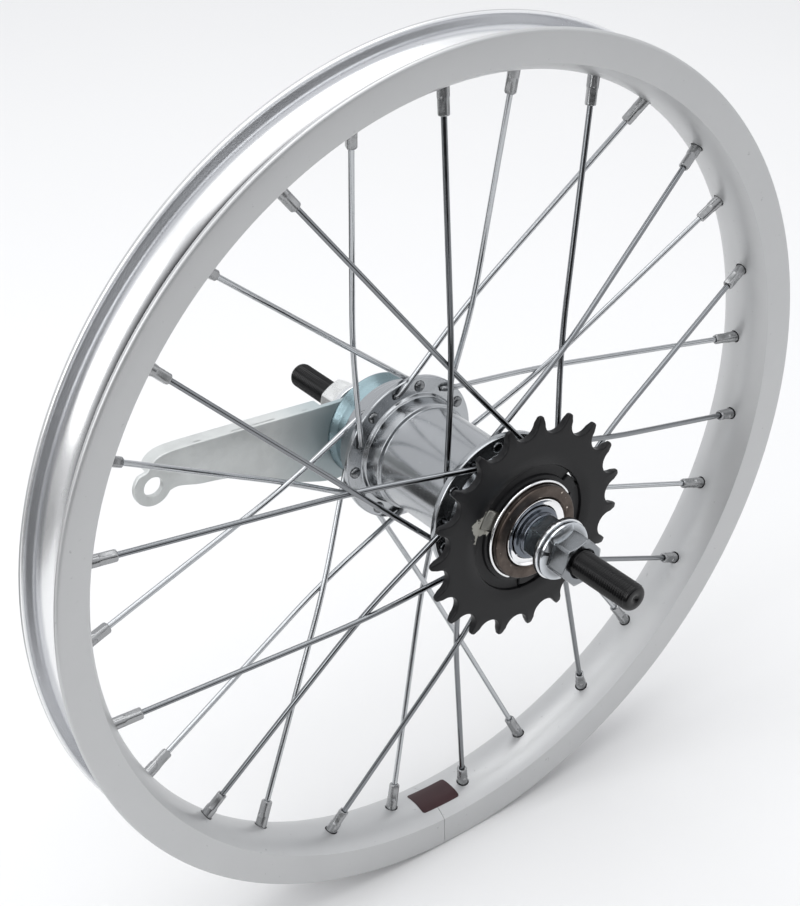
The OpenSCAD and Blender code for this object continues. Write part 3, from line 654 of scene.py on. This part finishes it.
for node, first, mat in (("spokes_drive_outer", 2, SHADED_DRIVE_SPOKE_MAT), ("spokes_drive_inner", 0, SHADED_DRIVE_SPOKE_MAT),
                         ("spokes_left_outer", 1, FAR_SPOKE_MAT), ("spokes_left_inner", 3, FAR_SPOKE_MAT)):
    group = gather([spoke_parts(spoke) for spoke in spokes[first::4]])
    dress(make(node.replace("spokes", "wire"), *group, sharp=40), mat, "wheel", (node,))

# ------------------------------------------------------------------ hub shell
barrel_r, shoulder_r, mouth_r, bore_r, race_r = 19.1, 20.3, 19.25, 16.55, 13.2
mouth_depth, spoke_hole_r = 28.3, 1.3
shell_profile = [
    (20.9, -SHELL_END), (21.2, -SHELL_END + 0.3), (21.2, -OUTER_FACE), (FLANGE_R - 0.3, -OUTER_FACE),
    (FLANGE_R, -OUTER_FACE + 0.5), (FLANGE_R, -INNER_FACE - 0.5), (FLANGE_R - 0.3, -INNER_FACE),
    (20.6, -INNER_FACE), (19.3, -INNER_FACE + 0.6), (barrel_r, -INNER_FACE + 1.8), (barrel_r, 14.9),
    (19.3, 15.1), (shoulder_r, 15.4), (shoulder_r, 21.5), (20.8, 21.9), (21.4, INNER_FACE),
    (FLANGE_R - 0.3, INNER_FACE), (FLANGE_R, INNER_FACE + 0.5), (FLANGE_R, OUTER_FACE - 0.5),
    (FLANGE_R - 0.3, OUTER_FACE), (21.2, OUTER_FACE), (21.2, SHELL_END - 0.3), (20.9, SHELL_END),
    (mouth_r, SHELL_END), (mouth_r, mouth_depth), (bore_r, mouth_depth), (bore_r, -16), (race_r, -22),
    (race_r, -mouth_depth), (mouth_r, -mouth_depth), (mouth_r, -SHELL_END)]
shell = lathe("shell_alloy", softened(shell_profile, 0.28), 384, sharp=24)
holes = []
for spoke in spokes:
    x, y, z = spoke.elbow
    y = math.copysign(FLANGE_MID, y)
    holes.append(bar((x, y - 3, z), (x, y + 3, z), spoke_hole_r, 28))
cut(shell, holes)
dress(shell, SHELL_MAT, "wheel", ("hub_shell",))


# ------------------------------------------------------------------ sprocket
def tooth_outline():
    """The toothed edge as (x, z) points: round gaps wider than a roller, and narrow rounded tips."""
    middle, radius = PITCH_R + 0.8, 4.9
    turns = [math.radians(a) for a in range(-78, 79, 6)]
    gap = [(middle - radius * math.cos(a), radius * math.sin(a)) for a in turns]
    foot = np.array(gap[-1])
    top = np.array([TIP_R - 0.95, 5.6])
    flank = [tuple(foot + (top - foot) * t) for t in (0.35, 0.7, 1.0)]
    crown = [(TIP_R - 0.75, 5.72), (TIP_R - 0.62, 5.9), (TIP_R - 0.55, 6.15), (TIP_R - 0.52, 6.45)]
    half = flank + crown
    one = [(x, -z) for x, z in reversed(half)] + gap + half
    outline = []
    step = 360 / TEETH
    for k in range(TEETH):
        a = math.radians(TOOTH_PHASE + step * (k + 0.5))
        for x, z in one:
            outline.append((x * math.cos(a) - z * math.sin(a), x * math.sin(a) + z * math.cos(a)))
        tip = math.radians(TOOTH_PHASE + step * (k + 1))
        outline.append((TIP_R * math.cos(tip), TIP_R * math.sin(tip)))
    return np.array(outline)


def sprocket_parts():
    """The plate as rings of points, from its bore over the front, round the teeth and back to the bore."""
    outline = tooth_outline()
    count = len(outline)
    angle = np.arctan2(outline[:, 1], outline[:, 0])
    ahead = np.roll(outline, -1, axis=0) - np.roll(outline, 1, axis=0)
    normal = np.stack([ahead[:, 1], -ahead[:, 0]], axis=1)
    normal /= np.linalg.norm(normal, axis=1)[:, None]
    front, back = SPROCKET_FRONT, SPROCKET_BACK
    bore, groove, web, tooth_bevel = 17.1, 1.1, 33.6, 0.24

    def circle(r, y):
        return np.stack([r * np.cos(angle), np.full(count, y), r * np.sin(angle)], axis=1)

    def flat(y):
        p = outline - normal * 0.45
        pull = np.minimum(1, BEVEL_R / np.hypot(p[:, 0], p[:, 1]))
        return np.stack([p[:, 0] * pull, np.full(count, y), p[:, 1] * pull], axis=1)

    def edge(inset, y, slope):
        p = outline - normal * inset
        drop = np.maximum(0, np.hypot(p[:, 0], p[:, 1]) - BEVEL_R) * tooth_bevel
        return np.stack([p[:, 0], y + slope * drop, p[:, 1]], axis=1)

    rings = [circle(bore + 0.15, front), circle(19.1, front), circle(19.3, front + 0.1),
             circle(19.6, front + groove - 0.1), circle(19.9, front + groove), circle(22.55, front + groove),
             circle(22.9, front + groove - 0.1), circle(23.25, front + 0.12), circle(23.5, front),
             circle(28, front), circle(web, front), flat(front), edge(0.45, front, 1),
             edge(0.3, front + 0.02, 1), edge(0.08, front + 0.13, 1), edge(0, front + 0.34, 1),
             edge(0, back - 0.34, -1), edge(0.08, back - 0.13, -1), edge(0.3, back - 0.02, -1),
             edge(0.45, back, -1), flat(back), circle(web, back), circle(28, back),
             circle(bore + 0.15, back), circle(bore, back - 0.15), circle(bore, front + 0.15)]
    return np.concatenate(rings), skin(len(rings), count, looped=True)


sprocket = make("sprocket_plate", *sprocket_parts(), sharp=9)
notch_in, notch_out = 10.5, 23.1
notch_middle, notch_size = ((notch_in + notch_out) / 2, -40, 0), (notch_out - notch_in, 8, LUG_WIDTH + 0.3)
cut(sprocket, [block(notch_middle, notch_size, a) for a in LUGS])
dress(sprocket, SPROCKET_MAT, "drive_unit", ("sprocket",))

# ------------------------------------------------------------------ driver, snap ring and its dust cap
FACE_Y = box_mm("driver")[0][1]
driver_profile = [
    (13.2, FACE_Y), (SPIGOT_R - 0.4, FACE_Y), (SPIGOT_R, FACE_Y + 0.4), (SPIGOT_R, -42.9), (16.6, -42.9),
    (16.6, -41.5), (SPIGOT_R, -41.5), (SPIGOT_R, -38.6), (19, -38.6), (19, -37.2), (15.5, -37.2),
    (15.5, -34.8), (12.75, -34.8), (12.75, -27.5), (11.2, -26.5), (11.2, -24.2), (SLEEVE_R, -23),
    (SLEEVE_R, -4.3), (9.1, -3.5), (6, -3.5), (6, -36), (8.6, -38), (12.355, -38), (12.355, -43.9),
    (12.5, -44.1)]
driver = lathe("driver_body", softened(driver_profile, 0.18), 256, sharp=24)
dress(driver, BRONZE_MAT, "drive_unit", ("driver",))


def lug_parts(middle_angle):
    """One driver lug: a crowned block in the sprocket's bore, with its outer end slightly smaller."""
    columns, crown = 9, 0.35
    verts = []
    for y, grow in ((-41.0, -0.25), (-40.75, 0), (-37.2, 0)):
        spread = [s / (columns - 1) * 2 - 1 for s in range(columns)]
        top_half = math.degrees((LUG_WIDTH / 2 + grow) / (LUG_TOP_R - 0.2))
        root_half = math.degrees((LUG_WIDTH / 2 + grow) / (LUG_ROOT_R + 0.2))
        for t in spread:
            verts.append(on_wheel(LUG_TOP_R + grow - crown * t * t, middle_angle + top_half * t, y))
        for t in reversed(spread):
            verts.append(on_wheel(LUG_ROOT_R, middle_angle + root_half * t, y))
    return verts, skin(3, 2 * columns)


LUG_MAT = zinc("worn_lug", (0.40, 0.395, 0.36), (0.40, 0.395, 0.36), 0.42, (0.001, 0.002))
dress(make("driver_lug_bare", *lug_parts(LUGS[0])), LUG_MAT, "drive_unit", ())
coated_lugs = gather([lug_parts(a) for a in LUGS[1:]])
dress(make("driver_lugs_coated", *coated_lugs), SPROCKET_MAT, "drive_unit", ())


def snap_ring_parts():
    """The open ring of round wire, with its two ends rounded off."""
    low, high = box_mm("snap_ring")
    middle_y = (low[1] + high[1]) / 2
    ring_r, wire_r, first_angle, sweep, steps = 17.55, 0.6, 27, 213, 110
    step_length = 0.62
    path, radii = [], []
    for k in range(steps + 1):
        path.append(on_wheel(ring_r, first_angle + sweep * k / steps, middle_y))
        short = max(0, 1 - min(k, steps - k) * step_length / wire_r)
        radii.append(wire_r * math.sqrt(max(0.02, 1 - short ** 2)))
    return tube_parts(path, radii, 20)


snap = make("snap_ring_wire", *snap_ring_parts(), sharp=50)
dress(snap, WIRE_MAT, "drive_unit", ("snap_ring",))

cap_profile = [(9.95, -44.05), (10.6, -44.12), (11.3, -44.38), (11.75, -44.68), (11.95, -44.85),
               (12.15, -44.92), (12.3, -44.8), (12.3, -43.75), (12.0, -43.75), (11.98, -44.4), (11.7, -44.4),
               (11.2, -44.05), (10.6, -43.82), (9.95, -43.78)]
cap = lathe("driver_cap_dish", cap_profile, sharp=40)
dress(cap, CHROME_MAT, "drive_unit", ("driver_dust_cap",))


# ------------------------------------------------------------------ nuts, washers and axle
def hexagon(name, flats, y0, y1, corner, both_ends=False, flange=None, count=144):
    """A hexagonal nut with its corners 60 degrees apart from the angle given. They are turned down at y1 and
    perhaps at y0, the bore is countersunk at y1, and a (radius, thickness) flange may lie at y0."""
    slope = 0.5
    sign = 1 if y1 > y0 else -1
    inner = flats / 2 - 0.15
    columns = []
    for c in range(count):
        a = 360 * c / count
        across = min(flats / 2 / math.cos(math.radians(a % 60 - 30)), flats * 0.567)
        stop = max(0, across - inner) * slope
        start = stop if both_ends else 0
        column = [(NUT_BORE, y0)]
        if flange:
            r, t = flange
            column += [(r - 0.3, y0), (r, y0 + sign * 0.3), (r, y0 + sign * t * 0.5),
                       (r - 0.25, y0 + sign * t * 0.72), (across + 0.35, y0 + sign * t * 0.98),
                       (across, y0 + sign * (t + 0.25)), (across, y0 + sign * (t + 0.45))]
        else:
            column += [(inner, y0), (across, y0 + sign * start), (across, y0 + sign * (start + 0.2))]
        column += [(across, y1 - sign * (stop + 0.4)), (across, y1 - sign * (stop + 0.25)),
                   (across - 0.05, y1 - sign * (stop + 0.02)), (inner, y1),
                   (NUT_BORE + 0.75, y1), (NUT_BORE, y1 - sign * 0.8)]
        columns.append([(r, y, a + corner) for r, y in column])
    verts = [on_wheel(r, a, y) for column in columns for r, y, a in column]
    return make(name, verts, skin(count, len(columns[0]), looped=True), sharp=26)


drive_nut = hexagon("drive_nut", HEX, nut_high[1], nut_low[1], 12.5, flange=NUT_FLANGE)
dress(drive_nut, NUT_MAT, "axle_group", ("right_nut",))
left_nut = hexagon("brake_side_nut", HEX, -nut_high[1], -nut_low[1], 27, flange=NUT_FLANGE)
dress(left_nut, PALE_MAT, "axle_group", ("left_nut",))
lock = hexagon("drive_locknut", HEX, lock_high[1], lock_low[1], 12.5, both_ends=True)
dress(lock, LOCK_MAT, "axle_group", ("right_locknut",))
arm_lock_low, arm_lock_high = box_mm("left_locknut")
arm_lock = hexagon("brake_side_locknut", ARM_HEX, arm_lock_low[1], arm_lock_high[1], 12)
dress(arm_lock, NUT_MAT, "axle_group", ("left_locknut",))
for side, node, label in ((-1, "right_washer", "drive_washer"), (1, "left_washer", "brake_side_washer")):
    y0, y1, bore = -washer_high[1], -washer_low[1], 5.1
    profile = softened([(bore, y0), (WASHER_R, y0), (WASHER_R, y1), (bore, y1)], 0.35)
    washer = lathe(label, [(r, side * y) for r, y in profile], sharp=40)
    dress(washer, PLATED_MAT, "axle_group", (node,))

cone_end = lock_low[1] + 7.5
cone_profile = [(NUT_BORE, cone_end), (7.6, cone_end), (8, cone_end + 0.4), (8, -45.4), (9.2, -45.2),
                (9.5, -44.9), (9.5, -42.95), (7.45, -42.9), (7.45, -37.6), (6.95, -37.1), (NUT_BORE, -37.1)]
cone = lathe("drive_cone", softened(cone_profile, 0.25), sharp=28)
dress(cone, DARK_MAT, "axle_group", ("right_cone",))


def axle_parts():
    """The rod with a real 26-to-the-inch helical thread and rounded, dimpled ends."""
    pitch, depth, count = 25.4 / 26, 0.42, 40
    crest, root = 0.9, 0.12
    dome_run, dome_drop = 1.9, 1.5
    step = pitch / 8
    ys = np.arange(-AXLE_END, AXLE_END + step / 2, step)
    ys = ys * (AXLE_END / ys[-1])
    angle = 2 * np.pi * np.arange(count) / count
    phase = (ys[:, None] / pitch + angle[None, :] / (2 * np.pi)) % 1.0
    wave = np.clip(np.abs(phase - 0.5) * 2, root, crest)
    radius = AXLE_R - depth * (crest - wave) / (crest - root)
    inside = np.clip((AXLE_END - np.abs(ys)) / dome_run, 0, 1)
    dome = AXLE_R - dome_drop * (1 - np.sqrt(np.clip(1 - (1 - inside) ** 2, 0, 1)))
    radius = np.minimum(radius, dome[:, None])
    verts = np.stack([radius * np.cos(angle)[None, :], np.repeat(ys[:, None], count, axis=1),
                      radius * np.sin(angle)[None, :]], axis=2).reshape(-1, 3)
    faces = skin(len(ys), count, capped=False)
    verts = list(verts)
    for base, y, sign in ((0, -AXLE_END, 1), ((len(ys) - 1) * count, AXLE_END, -1)):
        previous = [base + c for c in range(count)]
        for r, inward in ((1.5, 0.0), (1.3, 0.12), (0.5, 0.7)):
            ring = []
            for c in range(count):
                ring.append(len(verts))
                verts.append(np.array([r * math.cos(angle[c]), y + sign * inward, r * math.sin(angle[c])]))
            for c in range(count):
                d = (c + 1) % count
                faces.append((previous[c], previous[d], ring[d], ring[c]))
            previous = ring
        faces.append(tuple(previous))
    return verts, faces


axle = make("axle_threaded", *axle_parts(), sharp=60)
dress(axle, AXLE_MAT, "axle_group", ("axle",))

# ------------------------------------------------------------------ brake arm and its cup
TIP = on_wheel(92.1, 175.2, 0)


def arc(x, z, r, angles):
    """Points on a circle about (x, z)."""
    return [(x + r * math.cos(math.radians(a)), z + r * math.sin(math.radians(a))) for a in angles]


top_edge = [(-93.5, 13.6), (-92.2, 16.2), (-89.6, 18.2), (-86, 19), (-80, 18.9), (-66, 17.9), (-51, 16.7),
            (-36, 15.5), (-22, 14.4), (-10, 13.8)]
hub_turn = arc(0, 0, 15.6, range(112, -116, -6))
low_edge = [(-13, -18.0), (-20, -17.6), (-31, -13.8), (-42, -9.6), (-50, -5.4), (-57, -1.6), (-62, -0.2),
            (-68, 1.1), (-74, 1.9), (-79, 3.6), (-82.4, 4.5), (-85.2, 4.0)]
tip_turn = arc(TIP[0], TIP[2], 7.4, range(-30, -231, -8))


def smooth_closed(points):
    """A closed outline with its corners eased, sampled every millimetre."""
    step = 1.0
    pts = np.array(points, dtype=float)
    for _ in range(2):
        ahead = np.roll(pts, -1, axis=0)
        pts = np.stack([pts * 0.75 + ahead * 0.25, pts * 0.25 + ahead * 0.75], axis=1).reshape(-1, 2)
    ahead = np.roll(pts, -1, axis=0)
    lengths = np.linalg.norm(ahead - pts, axis=1)
    marks = np.concatenate([[0], np.cumsum(lengths)])
    closed = np.concatenate([pts, pts[:1]])
    wanted = np.arange(0, lengths.sum(), step)
    return np.stack([np.interp(wanted, marks, closed[:, k]) for k in (0, 1)], axis=1)


arm_outline = smooth_closed(top_edge + hub_turn + low_edge + tip_turn)


def plate(outline, y0, y1, bevel):
    """A flat plate between y0 and y1 with rounded edges."""
    levels = 3
    ahead = np.roll(outline, -1, axis=0) - np.roll(outline, 1, axis=0)
    normal = np.stack([ahead[:, 1], -ahead[:, 0]], axis=1)
    normal /= np.linalg.norm(normal, axis=1)[:, None]
    following = np.roll(outline, -1, axis=0)
    if np.sum(outline[:, 0] * following[:, 1] - following[:, 0] * outline[:, 1]) < 0:
        normal = -normal
    rings = []
    for s in range(levels + 1):
        t = math.pi / 2 * s / levels
        rings.append((bevel * (1 - math.sin(t)), y0 + bevel * (1 - math.cos(t))))
    rings += [(inset, y0 + y1 - y) for inset, y in reversed(rings)]
    verts = []
    for inset, y in rings:
        p = outline - normal * inset
        verts += [(x, y, z) for x, z in p]
    return verts, skin(len(rings), len(outline))


arm = make("arm_plate", *plate(arm_outline, ARM_Y0, ARM_Y1, 0.45), sharp=40)
tip_hole = bar((TIP[0], ARM_Y0 - 5, TIP[2]), (TIP[0], ARM_Y1 + 5, TIP[2]), TIP_HOLE_R, 48)
cut(arm, [tip_hole, block((0, (ARM_Y0 + ARM_Y1) / 2, 0), (13.4, 8, 13.4))])
dress(arm, ARM_MAT, "axle_group", ("brake_arm",))


def fold_parts():
    """The rolled stiffening edge: a sheet that turns from the plate towards +Y along the top edge."""
    spine = np.array(top_edge[:-1], dtype=float)
    marks = np.concatenate([[0], np.cumsum(np.linalg.norm(np.diff(spine, axis=0), axis=1))])
    wanted = np.linspace(0, marks[-1], 90)
    spine = np.stack([np.interp(wanted, marks, spine[:, k]) for k in (0, 1)], axis=1)
    for _ in range(6):
        spine[1:-1] = (spine[:-2] + spine[1:-1] * 2 + spine[2:]) / 4
    along = np.gradient(spine, axis=0)
    along /= np.linalg.norm(along, axis=1)[:, None]
    inward = np.stack([along[:, 1], -along[:, 0]], axis=1)
    sheet = 1.6
    section = [(0.9, ARM_Y0 + 0.1), (0.35, ARM_Y0 + 0.2), (0.08, ARM_Y0 + 0.5), (0, ARM_Y0 + 1.0),
               (0, ARM_Y1 + 3.6), (0.15, ARM_Y1 + 4.05), (0.6, ARM_Y1 + 4.2), (1.35, ARM_Y1 + 4.05),
               (sheet, ARM_Y1 + 3.6), (sheet, ARM_Y1 - 0.1), (sheet, ARM_Y0 + 0.3)]
    verts = []
    for p, q in zip(spine, inward):
        for offset, y in section:
            verts.append((p[0] + q[0] * offset, y, p[1] + q[1] * offset))
    return verts, skin(len(spine), len(section))


fold = make("arm_fold_edge", *fold_parts(), sharp=40)
dress(fold, ARM_MAT, "axle_group", ())

cup_bore, ring_bore = 9.6, 15.9
cup_profile = [(cup_bore, 43.8), (17.8, 43.8), (18, 42), (17.1, 37.6), (17.9, 37.6), (18.9, 41.8), (20.1, 44),
               (20.25, 44.6), (20.0, 44.9), (cup_bore, 44.9)]
cup = lathe("brake_side_cup", softened(cup_profile, 0.35), 256, sharp=30)
dress(cup, CUP_MAT, "axle_group", ("left_dust_cap",))

ring_profile = [(ring_bore, -36.9), (20.6, -36.9), (21.0, -36.6), (21.0, -36.25), (19.2, -36.25),
                (19.2, -35.9), (18.65, -35.9), (18.65, -36.3), (ring_bore, -36.3)]
dust = lathe("shell_dust_ring", softened(ring_profile, 0.12), sharp=30)
dress(dust, CAGE_MAT, "wheel", ("shell_dust_cap",))

# ------------------------------------------------------------------ CAD pieces kept as they are
for node, mat in (("left_brake_cone", DARK_MAT), ("clutch_cone", DARK_MAT), ("retarder_spring", CAGE_MAT),
                  ("brake_shoe_upper", SHOE_MAT), ("brake_shoe_lower", SHOE_MAT), ("drive_balls", BALL_MAT),
                  ("left_balls", BALL_MAT), ("driver_balls", BALL_MAT), ("drive_cage", CAGE_MAT),
                  ("left_cage", CAGE_MAT), ("driver_cage", CAGE_MAT)):
    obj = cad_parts[node]
    obj.data.materials.clear()
    obj.data.materials.append(mat)

# ------------------------------------------------------------------ floor, light and camera
FLOOR_Z = -RIM_R * MM
bpy.ops.mesh.primitive_plane_add(size=12, location=(0, 0, FLOOR_Z))
floor = bpy.context.object
floor.name = "floor"
paper = Surface("paper_floor", (0.735, 0.735, 0.735), 0.0, 0.7)
paper.set_color(paper.mix(paper.noise(3, 3), (0.725, 0.725, 0.725), (0.745, 0.745, 0.745)))
paper.bump([(paper.noise(900, 2), 0.00001)])
floor.data.materials.append(paper.mat)


def area_light(name, location, size, power):
    """A soft box of (width, height) metres that faces the middle of the wheel."""
    data = bpy.data.lights.new(name, "AREA")
    data.shape = "RECTANGLE"
    data.size, data.size_y = size
    data.energy = power
    obj = bpy.data.objects.new(name, data)
    obj.location = location
    obj.rotation_euler = (-Vector(location)).to_track_quat("-Z", "Y").to_euler()
    bpy.context.scene.collection.objects.link(obj)


area_light("top_box", (0.0, 0.1, 1.5), (1.6, 1.6), 14)
area_light("left_box", (-1.5, -0.1, 0.8), (1.0, 1.2), 11)
area_light("right_box", (1.3, -0.9, 0.5), (0.8, 1.0), 0.8)

# the camera's place: how far it is turned about Z and tilted up, in radians, and its way back, right and up
AZ, EL = -0.6514037, 0.5428926
back_way = Vector((math.sin(AZ) * math.cos(EL), -math.cos(AZ) * math.cos(EL), math.sin(EL)))
right_way = Vector((math.cos(AZ), math.sin(AZ), 0))
up_way = back_way.cross(right_way)

world = bpy.data.worlds.new("studio")
bpy.context.scene.world = world
world.use_nodes = True


def world_node(kind, inputs=None, **settings):
    return add_node(world.node_tree, kind, inputs, **settings)


# an even bright room, where reflections also see a dark gap low down in front, beyond the white paper
way = world_node("ShaderNodeTexCoord").outputs["Generated"]
to_camera = Vector((back_way.x, back_way.y, 0)).normalized()
ahead = world_node("ShaderNodeVectorMath", {0: way, 1: to_camera}, operation="DOT_PRODUCT").outputs["Value"]
height = world_node("ShaderNodeSeparateXYZ", {0: way}).outputs[2]
facing = world_node("ShaderNodeMapRange", {"Value": ahead, "From Min": 0.15, "From Max": 0.6},
                    interpolation_type="SMOOTHSTEP").outputs["Result"]
low_down = world_node("ShaderNodeMapRange", {"Value": height, "From Min": 0.34, "From Max": 0.12},
                      interpolation_type="SMOOTHSTEP").outputs["Result"]
dark_gap = world_node("ShaderNodeMath", {0: facing, 1: low_down}, operation="MULTIPLY").outputs[0]
camera_ray = world_node("ShaderNodeLightPath").outputs["Is Camera Ray"]
reflected = world_node("ShaderNodeMath", {0: 1.0, 1: camera_ray}, operation="SUBTRACT").outputs[0]
gap_share = world_node("ShaderNodeMath", {0: dark_gap, 1: reflected}, operation="MULTIPLY").outputs[0]
strength = world_node("ShaderNodeMapRange", {"Value": gap_share, "To Min": 0.9, "To Max": 0.04})
background = world.node_tree.nodes["Background"]
world.node_tree.links.new(strength.outputs["Result"], background.inputs["Strength"])
background.inputs["Color"].default_value = (0.965, 0.975, 1.0, 1)

# black cards on the floor, in front and behind, that only reflections see
felt = Surface("black_felt", (0.02, 0.02, 0.02), 0.0, 0.9)
felt.set_color(felt.mix(felt.noise(60, 3), (0.015, 0.015, 0.015), (0.03, 0.03, 0.03)))


def black_card(name, heading, distance, length, width):
    """A flat card with its middle at a distance along the heading, in degrees, which its length follows."""
    bpy.ops.mesh.primitive_plane_add(size=1)
    card = bpy.context.object
    card.name = name
    card.scale = (length, width, 1)
    a = math.radians(heading)
    card.rotation_euler = (0, 0, a)
    card.location = (distance * math.cos(a), distance * math.sin(a), FLOOR_Z + 0.004)
    card.data.materials.append(felt.mat)
    card.visible_camera = False
    card.visible_diffuse = False
    card.visible_shadow = False


black_card("front_card", math.degrees(math.atan2(back_way.y, back_way.x)), 1.12, 1.4, 3.2)
black_card("back_card", 133, 0.80, 1.0, 0.3)

camera_data = bpy.data.cameras.new("camera")
camera = bpy.data.objects.new("camera", camera_data)
bpy.context.scene.collection.objects.link(camera)
DISTANCE, OFF_X, OFF_Y = 609.874, -22.441, 11.368
spot = (back_way * DISTANCE + right_way * OFF_X + up_way * OFF_Y) * MM
basis = Matrix((right_way, up_way, back_way)).transposed().to_4x4()
camera.matrix_world = Matrix.Translation(spot) @ basis
camera_data.sensor_width = 36
camera_data.lens = 69.81576
camera_data.shift_x = 0.0156181
camera_data.shift_y = -0.0116777
camera_data.clip_start = 0.01
bpy.context.scene.camera = camera
bpy.context.scene.view_settings.view_transform = "Standard"
